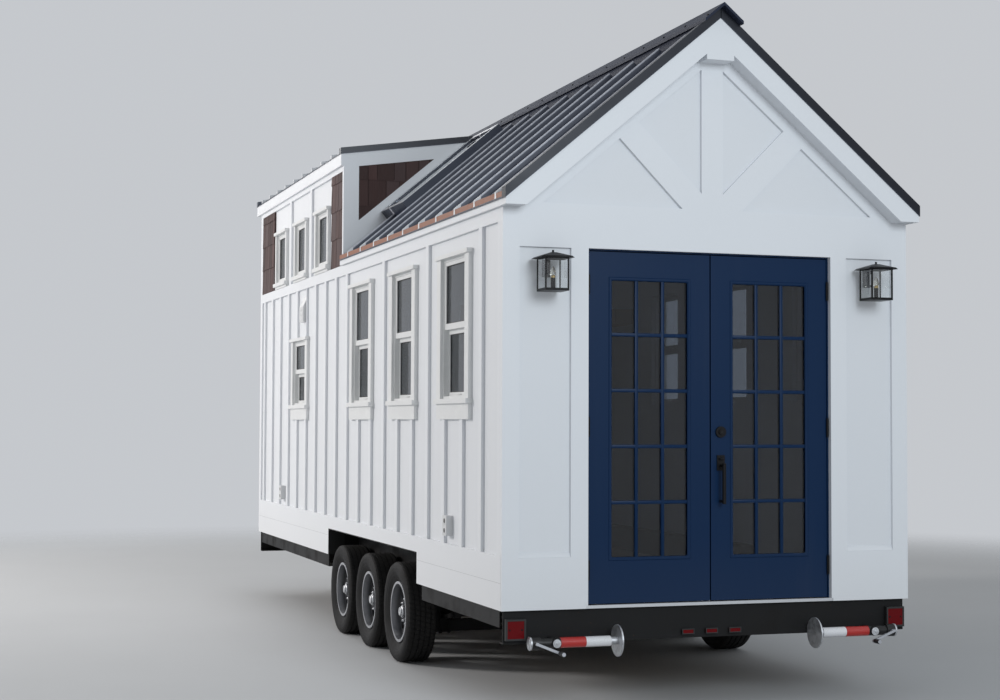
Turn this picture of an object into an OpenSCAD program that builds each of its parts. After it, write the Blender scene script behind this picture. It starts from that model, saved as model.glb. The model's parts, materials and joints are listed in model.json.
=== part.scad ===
// Tiny house on a three axle trailer: a gabled timber house with side dormers,
// a pair of glazed doors in its end wall and stored jacks under them.
// Millimetres, +Z up from the ground. Here x is measured from the centre line and
// y from the trim face of the door end; placed() moves both to the middle of the plan.

/* [House] */
// Width of the house over its trim
house_w = 2540; // [2400:10:2640]
// Length of the house over its trim
house_len = 7280; // [7000:10:8200]
// Height of the trailer deck above the ground
deck_h = 570; // [540:5:640]
// Height of the side walls above the deck
wall_h = 2229; // [2150:1:2400]
// Thickness of the walls behind their trim
wall_t = 110; // [90:5:130]
// Thickness of flat trim boards and battens
trim_t = 19; // [15:1:25]
// Thickness of the deck boards inside the house
floor_t = 20; // [15:1:40]
// Height of the boarded skirt along the foot of the side walls
skirt_h = 299; // [240:1:360]

/* [Roof] */
// Pitch of the main roof in degrees
roof_pitch = 40; // [36:0.5:41]
// Thickness of the main roof behind its edge boards
roof_t = 107; // [90:1:120]
// Height of the roof deck above the side wall at the wall's outer face
heel_h = 69; // [60:1:90]
// Overhang of the roof past both end walls
rake_over = 113; // [90:1:160]
// Overhang of the eaves past the side trim
eave_over = 21; // [20:1:30]
// Thickness of the edge boards
edge_board_t = 18; // [15:1:25]
// Thickness of the roofing sheet
sheet_t = 8; // [4:1:12]
// Height of the roofing ribs above the deck
rib_h = 38; // [25:1:42]
// Spacing of the ribs on the main roof
rib_pitch = 394; // [300:1:450]
// Distance of the first main rib from the front
rib_first = 61; // [40:1:200]
// Height of the metal edge trim above the deck
metal_edge_h = 48; // [44:1:55]

/* [Roof window] */
// Width of the roof window in front of the left dormer
roof_window_w = 620; // [560:5:640]
// Length of the roof window down the slope
roof_window_l = 970; // [900:5:1000]
// Distance down the slope from the ridge to the roof window
roof_window_top = 225; // [215:5:260]
// Height of the roof window's frame above the deck
roof_window_rise = 90; // [70:1:100]

/* [Dormers] */
// Distance of the dormers from the front
dormer_y = 3880; // [3800:10:3950]
// Pitch of the dormer roofs in degrees
dormer_pitch = 8; // [5:0.5:8]
// Level distance of the dormer roofs' upper edge from the ridge
dormer_join = 118; // [112:1:180]
// Thickness of the dormer roofs
dormer_roof_t = 90; // [70:1:100]
// Spacing of the ribs on the dormer roofs
dormer_rib_pitch = 366; // [300:1:450]
// Height of the loft floor above the deck
loft_h = 1950; // [1900:1:1980]
// Thickness of the loft floor
loft_t = 120; // [80:1:160]

/* [Side windows] */
// Width of the side windows' openings
window_w = 500; // [440:1:520]
// Distance of the middle of each side window from the front
window_y = [945, 2120, 3280, 5470]; // [600:5:6800]
// Height of each side window's opening
window_h = [855, 855, 855, 545]; // [400:5:880]
// Height of the side windows' openings above the deck
window_sill = 1175; // [1100:1:1190]
// Width of the casings beside the windows
casing_w = 80; // [60:1:90]
// Thickness of the window casings and frieze boards
casing_t = 25; // [22:1:30]
// Width of a dormer window's opening
dormer_window_w = 410; // [360:1:450]
// Height of a dormer window's opening
dormer_window_h = 440; // [350:1:445]
// Distance of the middle dormer window from the front
dormer_window_mid = 5465; // [5440:5:5500]
// Spacing of the dormer windows
dormer_window_pitch = 835; // [800:5:850]

/* [Doors] */
// Width of one door leaf
leaf_w = 745; // [700:1:760]
// Height of a door leaf
leaf_h = 1976; // [1900:1:2000]
// Thickness of a door leaf
leaf_t = 44; // [40:1:50]
// Gap between the two leaves
leaf_meet = 7.5; // [7:0.5:10]
// Gap round the leaves
leaf_gap = 5; // [4:0.5:8]
// Height of the metal sill above the deck
sill_h = 17; // [12:1:25]
// Width of a leaf's stiles
stile_w = 130; // [100:1:150]
// Height of a leaf's bottom rail
bottom_rail = 247; // [200:1:300]
// Height of a leaf's top rail
top_rail = 151; // [100:1:180]

/* [Running gear] */
// Outer radius of the tyres
tyre_r = 332; // [325:1:340]
// Width of the tyres
tyre_w = 205; // [185:1:225]
// Radius of the rims at the tyre bead
rim_r = 196; // [180:1:205]
// Distance of the middle axle from the front
axle_mid = 3090; // [3060:5:3120]
// Spacing of the axles
axle_pitch = 815; // [790:5:830]
// Distance of the front edge of the wheel opening from the front
opening_y0 = 1725; // [1700:5:1740]
// Distance of the back edge of the wheel opening from the front
opening_y1 = 4289; // [4270:1:4350]
// Height of the wheel opening's top above the deck
opening_rise = 195; // [190:1:220]
// Height of the trailer's long rails
rail_h = 184; // [160:1:190]
// Distance of the long rails' middles from the outside of the side walls
rail_x = 340; // [330:1:370]
// Length of the drawbar in front of the far wall
tongue_len = 1350; // [1200:10:1500]

/* [Jacks] */
// Distance of the jack pivots from the sides of the house
jack_in = 285; // [270:1:310]
// Height of the jack pivots above the ground
jack_h = 398; // [392:1:404]
// Distance from a jack's pivot to its foot plate
jack_reach = 375; // [360:1:380]
// Radius of the jack's outer tube
jack_r = 28; // [26:1:30]
// Radius of the jack's foot plate
foot_r = 88; // [80:1:90]

/* [Hidden] */
$fn = 48;

// Heights and faces that follow from the driving sizes
wall_top = deck_h + wall_h;
shell_x = house_w / 2 - trim_t;
inner_x = shell_x - wall_t;
shell_y0 = trim_t;
shell_y1 = house_len - trim_t;
inner_y0 = shell_y0 + wall_t;
inner_y1 = shell_y1 - wall_t;
eave_x = house_w / 2 + eave_over;
slab_x1 = eave_x - edge_board_t;
ridge_h = wall_top + heel_h + shell_x * tan(roof_pitch);
rake_y0 = -rake_over;
rake_y1 = house_len + rake_over;
beam_half = 20;
beam_drop = 90;
lip = 6;
far = 2 * house_w;
seat = 0.03;
function deck_z(x) = ridge_h - abs(x) * tan(roof_pitch);
function soffit_z(x) = deck_z(x) - roof_t / cos(roof_pitch);
function dormer_deck_z(x) = deck_z(dormer_join) - (abs(x) - dormer_join) * tan(dormer_pitch);
function dormer_soffit_z(x) = dormer_deck_z(x) - dormer_roof_t / cos(dormer_pitch);
knee_x = (soffit_z(0) - wall_top) / tan(roof_pitch);
cheek_x = (soffit_z(0) - dormer_soffit_z(0)) / (tan(roof_pitch) - tan(dormer_pitch));
skirt_top = deck_h + skirt_h;
frieze_h = 79;
frieze_z = wall_top - frieze_h;
fascia_drop = 2;

// Doorway, from the leaves outward
sill_z = deck_h + sill_h;
leaf_z0 = sill_z + leaf_gap;
leaf_z1 = leaf_z0 + leaf_h;
jamb_x = leaf_meet / 2 + leaf_w + leaf_gap;
jamb_z = leaf_z1 + leaf_gap;
jamb_t = 19;
reveal = 8;
door_hole_x = jamb_x + jamb_t;
door_hole_z = jamb_z + jamb_t;
door_trim_x = jamb_x + reveal;
door_trim_z = jamb_z + reveal;
jamb_y = shell_y0 + 12;
leaf_y = jamb_y + 1;
hinge_r = 7;
hinge_pin_r = 3;
hinge_fit = 0.06;
hinge_x = jamb_x - leaf_gap / 2;
hinge_y = jamb_y - hinge_r - 0.5;
hinge_len = 100;
hinge_end = 187;
hinge_zs = [leaf_z0 + hinge_end, (leaf_z0 + leaf_z1) / 2, leaf_z1 - hinge_end];

// Trailer
rail_z = deck_h - rail_h;
rail_w = 70;
rail_mid = house_w / 2 - rail_x;
side_rail_h = 100;
side_rail_w = 50;
side_rail_x = shell_x - side_rail_w;
beam_y = 30;
beam_w = 60;
spindle_r = 22;
spindle_fit = 0.06;
axle_tube = 76;
axle_drop = 100;
axle_z = tyre_r - axle_drop;
tyre_x = house_w / 2 - 5 - tyre_w / 2;
axle_ys = [axle_mid - axle_pitch, axle_mid, axle_mid + axle_pitch];
well_t = 6;
well_top = deck_h + opening_rise;
well_x = tyre_x - tyre_w / 2 - 35;
tongue_z = deck_h - 170;
tongue_h = 120;
tongue_y = house_len + tongue_len;
coupler_len = 300;
foot_t = 8;
jack_x = house_w / 2 - jack_in;
jack_y = beam_y - foot_r - 10;
crank_out = 54;
grip_len = 60;
lantern_w = 140;
lantern_eave = 15;
lantern_y = shell_y0 - 45 - lantern_w / 2;
coupler_r = 55;
cap_nose = 48;
front_most = min(rake_y0 - lip - cap_nose, jack_y - crank_out - grip_len,
                 lantern_y - lantern_w / 2 - lantern_eave);
back_most = tongue_y + coupler_r;
mid_y = (front_most + back_most) / 2;

// Helpers
module placed() { translate([0, -mid_y, 0]) children(); }
module block(a, b) { translate(a) cube(b - a); }
module rect(a, b) { translate(a) square(b - a); }
module left_too() { children(); mirror([1, 0, 0]) children(); }
module on_side(side) { mirror([side < 0 ? 1 : 0, 0, 0]) children(); }
// A drawing in (y, z), given thickness along x
module slab_x(x0, t) { translate([x0, 0, 0]) rotate([90, 0, 90]) linear_extrude(t) children(); }
// A drawing in (x, z), given thickness along y
module slab_y(y0, y1) { translate([0, y1, 0]) rotate([90, 0, 0]) linear_extrude(y1 - y0) children(); }
// A drawing in (x, y), given thickness along z
module slab_z(z0, z1) { translate([0, 0, z0]) linear_extrude(z1 - z0) children(); }
module rod_x(x0, x1, y, z, r) { translate([x0, y, z]) rotate([0, 90, 0]) cylinder(h = x1 - x0, r = r); }
module rod_y(y0, y1, x, z, r) { translate([x, y0, z]) rotate([-90, 0, 0]) cylinder(h = y1 - y0, r = r); }

// Cross sections of the house
module under_main_roof() {
    translate([0, -seat])
        polygon([[-far, 0], [far, 0], [far, wall_top], [knee_x, wall_top], [0, soffit_z(0)],
                 [-knee_x, wall_top], [-far, wall_top]]);
}
module under_dormer_roof() {
    translate([0, -seat])
        polygon([[-far, 0], [far, 0], [far, dormer_soffit_z(far)], [0, dormer_soffit_z(0)],
                 [-far, dormer_soffit_z(far)]]);
}
module beam_section() {
    polygon([[-beam_half, soffit_z(0) - beam_drop], [beam_half, soffit_z(0) - beam_drop],
             [beam_half, deck_z(beam_half)], [0, ridge_h], [-beam_half, deck_z(beam_half)]]);
}
module main_slope() { translate([0, 0, ridge_h + seat]) rotate([0, roof_pitch, 0]) children(); }
module dormer_slope() { translate([0, 0, dormer_deck_z(0) + seat]) rotate([0, dormer_pitch, 0]) children(); }

// Windows: the module draws them facing +x with the opening's foot at z = 0
// As many as leave the last strip of shakes its least length
function last_dormer_window() =
    floor((shell_y1 - side_leg - least_strip - back_strip_room - dormer_window_half - dormer_window_mid)
          / dormer_window_pitch);
function dormer_window_ys() =
    [for (k = [-1 : last_dormer_window()]) dormer_window_mid + k * dormer_window_pitch];
dormer_window_rise = 52;
dormer_window_z = wall_top + dormer_window_rise;
apron_h = 124;
sill_board_t = 30;
cap_t = 25;
frame_w = 16;
frame_depth = 80;
frame_out = 6;
sash_w = 24;
sash_t = 25;
meet_w = 36;
meet_lap = 4;
glass_t = 6;
sill_out = 43;
cap_out = 39;
ear = 8;

module window_holes() {
    for (k = [0 : len(window_y) - 1])
        rect([window_y[k] - window_w / 2, deck_h + window_sill],
             [window_y[k] + window_w / 2, deck_h + window_sill + window_h[k]]);
}
module dormer_window_holes() {
    for (y = dormer_window_ys())
        rect([y - dormer_window_w / 2, dormer_window_z],
             [y + dormer_window_w / 2, dormer_window_z + dormer_window_h]);
}
module ring(w, h, band) {
    difference() {
        translate([-w / 2, 0]) square([w, h]);
        translate([-w / 2 + band, band]) square([w - 2 * band, h - 2 * band]);
    }
}
module sash(w, z0, z1, foot, head, x0) {
    slab_x(x0, sash_t) difference() {
        rect([-w / 2, z0], [w / 2, z1]);
        rect([-w / 2 + sash_w, z0 + foot], [w / 2 - sash_w, z1 - head]);
    }
}
module pane(w, z0, z1, x0) {
    block([x0 + (sash_t - glass_t) / 2, -w / 2 + sash_w, z0],
          [x0 + (sash_t + glass_t) / 2, w / 2 - sash_w, z1]);
}
module double_hung(w, h) {
    sash(w, h / 2 - meet_lap, h - frame_w, meet_w, sash_w, -sash_t);
    sash(w, frame_w, h / 2 + meet_lap, sash_w, meet_w, -2 * sash_t);
}
module casing(w, h, side, apron) {
    half = w / 2 + side;
    left_too_y() block([0, w / 2, 0], [casing_t, half, h]);
    block([0, -half - ear, -sill_board_t], [sill_out, half + ear, 0]);
    block([0, -half, -apron], [casing_t, half, -sill_board_t]);
    block([0, -half - ear, h], [cap_out, half + ear, h + cap_t]);
}
module left_too_y() { children(); mirror([0, 1, 0]) children(); }
module window_unit(w, h, side, apron, hung) {
    in_w = w - 2 * frame_w;
    slab_x(-frame_depth, frame_depth + frame_out) ring(w, h, frame_w);
    if (hung) double_hung(in_w, h);
    else sash(in_w, frame_w, h - frame_w, sash_w, sash_w, -sash_t);
    casing(w, h, side, apron);
}
module window_panes(w, h, hung) {
    in_w = w - 2 * frame_w;
    edge = frame_w + sash_w;
    if (hung) {
        pane(in_w, h / 2 - meet_lap + meet_w, h - edge, -sash_t);
        pane(in_w, edge, h / 2 + meet_lap - meet_w, -2 * sash_t);
    } else {
        pane(in_w, edge, h - edge, -sash_t);
    }
}
module at_side_windows() {
    for (k = [0 : len(window_y) - 1])
        translate([shell_x, window_y[k], deck_h + window_sill]) {
            $h = window_h[k];
            children();
        }
}
module at_dormer_windows() {
    for (y = dormer_window_ys()) translate([shell_x, y, dormer_window_z]) children();
}
dormer_casing = 45;
dormer_apron = 50;
dormer_window_half = dormer_window_w / 2 + dormer_casing + ear;
front_strip_room = 92;
back_strip_room = 82;
least_strip = 300;
module windows() {
    color("white") placed() left_too() {
        at_side_windows() window_unit(window_w, $h, casing_w, apron_h, true);
        at_dormer_windows()
            window_unit(dormer_window_w, dormer_window_h, dormer_casing, dormer_apron, false);
    }
}
module glazing() {
    color([0.6, 0.7, 0.75, 0.4]) {
        placed() left_too() {
            at_side_windows() window_panes(window_w, $h, true);
            at_dormer_windows() window_panes(dormer_window_w, dormer_window_h, false);
        }
        placed() roof_window_pane();
        at_lanterns() lantern_panes();
    }
}

// Walls
module side_wall(side) {
    color("gainsboro") placed() on_side(side) difference() {
        slab_y(shell_y0, shell_y1) intersection() {
            rect([inner_x, deck_h], [shell_x, ridge_h]);
            under_main_roof();
        }
        slab_x(inner_x - 1, wall_t + 2) {
            window_holes();
            rect([opening_y0, 0], [opening_y1, well_top + well_t]);
        }
    }
}
module left_wall() { side_wall(-1); }
module right_wall() { side_wall(1); }
module front_wall() {
    color("gainsboro") placed() left_too()
        block([door_hole_x, shell_y0, deck_h], [inner_x, inner_y0, door_hole_z]);
}
module front_gable() {
    color("gainsboro") placed() slab_y(shell_y0, inner_y0) difference() {
        intersection() {
            rect([-inner_x, door_hole_z], [inner_x, ridge_h]);
            under_main_roof();
        }
        beam_section();
    }
}
module back_wall() {
    color("gainsboro") placed() slab_y(inner_y1, shell_y1) difference() {
        intersection() {
            rect([-inner_x, deck_h], [inner_x, ridge_h]);
            under_dormer_roof();
        }
        beam_section();
    }
}
module dormer_walls() {
    color("gainsboro") placed() left_too() difference() {
        slab_y(dormer_y, shell_y1) difference() {
            intersection() {
                rect([inner_x, deck_h], [shell_x, ridge_h]);
                under_dormer_roof();
            }
            under_main_roof();
        }
        slab_x(inner_x - 1, wall_t + 2) dormer_window_holes();
    }
}
cheek_t = 90;
module dormer_cheeks() {
    color("gainsboro") placed() left_too() slab_y(dormer_y, dormer_y + cheek_t)
        polygon([[cheek_x, soffit_z(cheek_x) - seat], [inner_x, soffit_z(inner_x)],
                 [inner_x, dormer_soffit_z(inner_x) - seat]]);
}
module well_notch() {
    left_too() rect([well_x - well_t, opening_y0 - well_t], [far, opening_y1 + well_t]);
}
module floors() {
    loft_z = deck_h + loft_h;
    color("burlywood") placed() {
        slab_z(deck_h, deck_h + floor_t) difference() {
            rect([-inner_x, inner_y0], [inner_x, inner_y1]);
            well_notch();
        }
        block([-inner_x, dormer_y, loft_z - loft_t], [inner_x, inner_y1, loft_z]);
    }
}

// Roof
dormer_lip_y = dormer_y - trim_t - lip;
roof_window_y1 = dormer_lip_y - 2;
roof_window_y0 = roof_window_y1 - roof_window_w;
kerb_w = 55;
kerb_lap = 12;
kerb_pane_t = 6;
kerb_pane_drop = 16;
pane_room = 0.5;
module roof_window_box(grow, z0, z1) {
    main_slope() block([roof_window_top - grow, roof_window_y0 - grow, z0],
                       [roof_window_top + roof_window_l + grow, roof_window_y1 + grow, z1]);
}
module roof_window_hole() { roof_window_box(-kerb_w, -roof_t - lip, roof_window_rise + 1); }
module roof_half() {
    slab_y(rake_y0 + edge_board_t, dormer_y)
        polygon([[beam_half, deck_z(beam_half)], [slab_x1, deck_z(slab_x1)], [slab_x1, wall_top],
                 [knee_x, wall_top], [beam_half, soffit_z(beam_half)]]);
}
module main_roof() {
    color("white") placed() {
        roof_half();
        on_side(-1) difference() { roof_half(); roof_window_hole(); }
    }
}
module dormer_roof() {
    color("white") placed() left_too() slab_y(dormer_y, rake_y1 - edge_board_t)
        polygon([[beam_half, deck_z(beam_half)], [dormer_join, deck_z(dormer_join)],
                 [slab_x1, dormer_deck_z(slab_x1)], [slab_x1, dormer_soffit_z(slab_x1)],
                 [beam_half, dormer_soffit_z(beam_half)]]);
}
module ridge_board() {
    color("white") placed() slab_y(rake_y0 + edge_board_t, rake_y1 - edge_board_t) beam_section();
}
rib_base = 32;
rib_crest = 18;
edge_trim_w = 60;
drip = 4;
cap_set = 13;
cap_x = dormer_join - cap_set;
rib_stop = 100;
run_out = 100;
module rib() {
    polygon([[-rib_base / 2, 0], [rib_base / 2, 0], [rib_crest / 2, rib_h], [-rib_crest / 2, rib_h]]);
}
module ribs(y_from, y_to, pitch) {
    for (y = [y_from : pitch : y_to]) translate([y, 0]) rib();
}
u_eave = (eave_x + run_out) / cos(roof_pitch);
u_cap = (cap_x + cap_set - 1) / cos(roof_pitch);
edge_top = metal_edge_h / cos(roof_pitch);
edge_in = 2;
closure_t = 8;
closure_h = 41;
module eave_closure() {
    polygon([[eave_x - closure_t, deck_z(eave_x - closure_t) + 2], [eave_x, deck_z(eave_x) + 2],
             [eave_x, deck_z(eave_x) + closure_h], [eave_x - closure_t, deck_z(eave_x) + closure_h]]);
}
module plumb_cut() {
    intersection() {
        children();
        block([edge_in, -far, 0], [eave_x + drip, house_len + far, far]);
    }
}
module roofing_half() {
    plumb_cut() main_slope() {
        slab_x(-run_out, u_eave + run_out) {
            rect([rake_y0 - lip, 0], [dormer_y, sheet_t]);
            rect([rake_y0 - lip, 0], [rake_y0 + edge_trim_w, metal_edge_h]);
        }
        slab_x(u_cap, u_eave) ribs(rib_first, dormer_y - rib_stop, rib_pitch);
    }
    slab_y(rake_y0 + edge_trim_w - 1, dormer_y) eave_closure();
}
module main_roofing() {
    color("dimgray") placed() {
        roofing_half();
        on_side(-1) difference() {
            union() { roofing_half(); roof_window_box(0, 1, roof_window_rise); }
            roof_window_hole();
            roof_window_box(kerb_lap - kerb_w, roof_window_rise - kerb_pane_drop, roof_window_rise + 1);
        }
    }
}
module roof_window_pane() {
    z0 = roof_window_rise - kerb_pane_drop + seat;
    on_side(-1) roof_window_box(kerb_lap - kerb_w - pane_room, z0, z0 + kerb_pane_t);
}
u_dormer_eave = (eave_x + run_out) / cos(dormer_pitch);
u_dormer_top = (dormer_join + 4) / cos(dormer_pitch);
u_dormer_lip = u_dormer_top + 40;
dormer_rib_set = 317;
dormer_rib_first = dormer_y + dormer_rib_set;
module dormer_roofing() {
    color("dimgray") placed() left_too() plumb_cut() dormer_slope() {
        slab_x(u_dormer_top, u_dormer_eave) rect([dormer_y, 0], [rake_y1 + lip, sheet_t]);
        slab_x(u_dormer_lip, u_dormer_eave) {
            ribs(dormer_rib_first, rake_y1 - rib_stop, dormer_rib_pitch);
            rect([dormer_lip_y, 0], [dormer_lip_y + edge_trim_w, metal_edge_h]);
            rect([rake_y1 - edge_trim_w, 0], [rake_y1 + lip, metal_edge_h]);
        }
    }
}
cap_gap = 0.3;
cap_fold = 14;
cap_low = edge_top + cap_gap;
cap_top = edge_top + cap_fold / cos(roof_pitch);
cap_front_x = cap_x + 15;
module chevron(half, z_low, z_high) {
    polygon([[half, deck_z(half) + z_low], [half, deck_z(half) + z_high], [0, ridge_h + z_high],
             [-half, deck_z(half) + z_high], [-half, deck_z(half) + z_low], [0, ridge_h + z_low]]);
}
module ridge_cap() {
    sheet_top = sheet_t / cos(roof_pitch) + cap_gap;
    color("dimgray") placed() {
        slab_y(rake_y0 - lip - cap_nose, dormer_y) chevron(cap_front_x, cap_low, cap_top);
        slab_y(rake_y0 + edge_trim_w + cap_gap, rake_y1 + lip) chevron(cap_x, sheet_top, cap_top);
        slab_y(dormer_y + cap_gap, rake_y1 + lip) chevron(cap_x, cap_gap, cap_top);
    }
}

// Trim boards
end_stile_w = 100;
door_board_w = 104;
panel_foot = 287;
gable_board = 29;
panel_x0 = door_trim_x + door_board_w;
panel_x1 = house_w / 2 - end_stile_w;
panel_z0 = deck_h + panel_foot;
panel_z1 = door_trim_z - 2;
gable_z = wall_top + gable_board;
king_w = 135;
strut_w = 150;
strut_foot = 120;
raked_trim = 65;
side_leg = 71;
module raked_band(width) {
    difference() {
        intersection() {
            rect([-far, gable_z - 1], [far, ridge_h]);
            under_main_roof();
        }
        translate([0, -width / cos(roof_pitch)]) under_main_roof();
    }
}
module strut() {
    foot_x = king_w / 2 + strut_foot;
    reach = house_w;
    polygon([[foot_x, gable_z], [foot_x + reach, gable_z + reach],
             [foot_x + reach - strut_w * sqrt(2), gable_z + reach], [foot_x - strut_w * sqrt(2), gable_z]]);
}
module front_boards() {
    difference() {
        rect([-house_w / 2, deck_h], [house_w / 2, gable_z]);
        rect([-door_trim_x, 0], [door_trim_x, door_trim_z]);
        rect([-door_hole_x, 0], [door_hole_x, sill_z]);
        left_too_2d() rect([panel_x0, panel_z0], [panel_x1, panel_z1]);
    }
    raked_band(raked_trim);
    rect([-king_w / 2, gable_z - 1], [king_w / 2, ridge_h]);
    left_too_2d() intersection() {
        strut();
        rect([0, gable_z - 1], [far, ridge_h]);
    }
}
module left_too_2d() { children(); mirror([1, 0]) children(); }
module back_boards() {
    left_too_2d() rect([house_w / 2 - end_stile_w, deck_h], [house_w / 2, ridge_h]);
    rect([-house_w / 2, deck_h], [house_w / 2, panel_z0]);
    rect([-house_w / 2, frieze_z], [house_w / 2, gable_z]);
    difference() {
        rect([-house_w / 2, gable_z], [house_w / 2, ridge_h]);
        translate([0, -raked_trim * 1.5]) under_dormer_roof();
    }
}
module end_trim() {
    color("white") placed() {
        slab_y(0, shell_y0) difference() {
            intersection() { front_boards(); under_main_roof(); }
            beam_section();
        }
        slab_y(shell_y0, jamb_y) difference() {
            rect([-door_hole_x, sill_z], [door_hole_x, door_hole_z]);
            rect([-door_trim_x, 0], [door_trim_x, door_trim_z]);
        }
        slab_y(shell_y1, house_len) difference() {
            intersection() { back_boards(); under_dormer_roof(); }
            beam_section();
        }
    }
}
divider_w = 64;
cheek_leg = 20;
dormer_frieze_h = 40;
dormer_edge_z = dormer_soffit_z(house_w / 2);
module side_boards() {
    rect([shell_y0, frieze_z], [shell_y1, wall_top]);
    rect([shell_y0, skirt_top], [shell_y0 + side_leg, frieze_z]);
    rect([shell_y1 - side_leg, skirt_top], [shell_y1, dormer_edge_z]);
    rect([dormer_y, dormer_edge_z - dormer_frieze_h], [shell_y1, dormer_edge_z]);
    rect([dormer_y, wall_top - 1], [dormer_y + cheek_leg, dormer_edge_z]);
    for (k = [-0.5 : last_dormer_window() - 0.5])
        translate([dormer_window_mid + k * dormer_window_pitch - divider_w / 2, 0])
            rect([0, wall_top - 1], [divider_w, dormer_edge_z]);
}
cheek_band = 195;
cheek_top_band = 107;
cheek_board = 120;
cheek_foot = 12;
module cheek_outline() {
    tip = (ridge_h + cheek_foot - dormer_deck_z(0)) / (tan(roof_pitch) - tan(dormer_pitch));
    side = house_w / 2;
    polygon([[tip, dormer_deck_z(tip)], [side, deck_z(side) + cheek_foot], [side, dormer_soffit_z(slab_x1)],
             [slab_x1, dormer_soffit_z(slab_x1)], [slab_x1, dormer_deck_z(slab_x1)]]);
}
module cheek_panel_outline(gap) {
    low = cheek_band + gap;
    high = cheek_top_band + gap;
    tip = (ridge_h + low - dormer_deck_z(0) + high) / (tan(roof_pitch) - tan(dormer_pitch));
    edge = house_w / 2 - cheek_board;
    polygon([[tip, deck_z(tip) + low], [edge, deck_z(edge) + low], [edge, dormer_deck_z(edge) - high]]);
}
module side_trim() {
    color("white") placed() left_too() {
        slab_x(shell_x, trim_t) difference() {
            side_boards();
            dormer_casing_outlines();
        }
        slab_y(dormer_y - trim_t, dormer_y) difference() {
            cheek_outline();
            cheek_panel_outline(0);
        }
    }
}
module dormer_casing_outlines() {
    for (y = dormer_window_ys())
        rect([y - dormer_window_half, dormer_window_z - dormer_apron],
             [y + dormer_window_half, dormer_window_z + dormer_window_h + cap_t]);
}
module fascia_section(z_low, z_in, z_out) {
    polygon([[slab_x1, z_low], [eave_x, z_low], [eave_x, z_out], [slab_x1, z_in]]);
}
key_half = 85;
key_drop = 103;
module key_outline() {
    polygon([[-key_half, soffit_z(0) - key_drop], [key_half, soffit_z(0) - key_drop],
             [key_half, soffit_z(key_half)], [0, soffit_z(0)], [-key_half, soffit_z(key_half)]]);
}
module edge_boards() {
    color("white") placed() {
        left_too() {
            slab_y(rake_y0 + edge_board_t, dormer_y)
                fascia_section(wall_top - fascia_drop, deck_z(slab_x1), deck_z(eave_x));
            slab_y(dormer_y - trim_t, rake_y1 - edge_board_t)
                fascia_section(dormer_soffit_z(slab_x1), dormer_deck_z(slab_x1), dormer_deck_z(eave_x));
        }
        slab_y(rake_y0, rake_y0 + edge_board_t) difference() {
            polygon([[-eave_x, wall_top - fascia_drop], [-eave_x, deck_z(eave_x)], [0, ridge_h],
                     [eave_x, deck_z(eave_x)], [eave_x, wall_top - fascia_drop]]);
            polygon([[-knee_x, 0], [-knee_x, wall_top], [0, soffit_z(0)], [knee_x, wall_top], [knee_x, 0]]);
        }
        slab_y(rake_y0, rake_y0 + edge_board_t) translate([0, 1]) key_outline();
        slab_y(rake_y0 + edge_board_t, 0) difference() {
            translate([0, -seat]) key_outline();
            beam_section();
        }
        slab_y(rake_y1 - edge_board_t, rake_y1)
            polygon([[-eave_x, dormer_soffit_z(eave_x)], [-eave_x, dormer_deck_z(eave_x)],
                     [-dormer_join, deck_z(dormer_join)], [0, ridge_h], [dormer_join, deck_z(dormer_join)],
                     [eave_x, dormer_deck_z(eave_x)], [eave_x, dormer_soffit_z(eave_x)],
                     [0, dormer_soffit_z(0)]]);
    }
}
module skirts() {
    color("white") placed() left_too() slab_x(shell_x, trim_t + 1) difference() {
        rect([shell_y0, deck_h], [shell_y1, skirt_top]);
        rect([opening_y0, 0], [opening_y1, well_top + well_t]);
    }
}
batten_w = 64;
batten_pitch = 370;
batten_first = 409;
short_batten = 150;
module batten_lines(from, to, z0, z1) {
    for (y = [from : batten_pitch : to]) rect([y - batten_w / 2, z0], [y + batten_w / 2, z1]);
}
module casing_outlines() {
    for (k = [0 : len(window_y) - 1]) {
        half = window_w / 2 + casing_w + ear;
        foot = deck_h + window_sill - apron_h;
        head = deck_h + window_sill + window_h[k] + cap_t;
        top = head > frieze_z - short_batten ? frieze_z : head;
        rect([window_y[k] - half, foot], [window_y[k] + half, top]);
    }
}
module battens() {
    color("white") placed() {
        left_too() slab_x(shell_x, trim_t) difference() {
            batten_lines(batten_first, shell_y1 - side_leg - batten_w, skirt_top, frieze_z);
            casing_outlines();
            vent_outline();
        }
        slab_y(shell_y1, house_len)
            batten_lines(-2 * batten_pitch, 2.5 * batten_pitch, panel_z0, frieze_z);
    }
}
shake_t = 12;
first_strip = [dormer_y + cheek_leg,
               dormer_window_ys()[0] - dormer_window_half - front_strip_room];
last_strip = [dormer_window_mid + last_dormer_window() * dormer_window_pitch + dormer_window_half
              + back_strip_room, shell_y1 - side_leg];
module shake_panels() {
    color("saddlebrown") placed() left_too() {
        for (s = [first_strip, last_strip])
            block([shell_x, s[0], wall_top], [shell_x + shake_t, s[1], dormer_edge_z - dormer_frieze_h - seat]);
        slab_y(dormer_y - shake_t, dormer_y) cheek_panel_outline(seat);
    }
}

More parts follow.
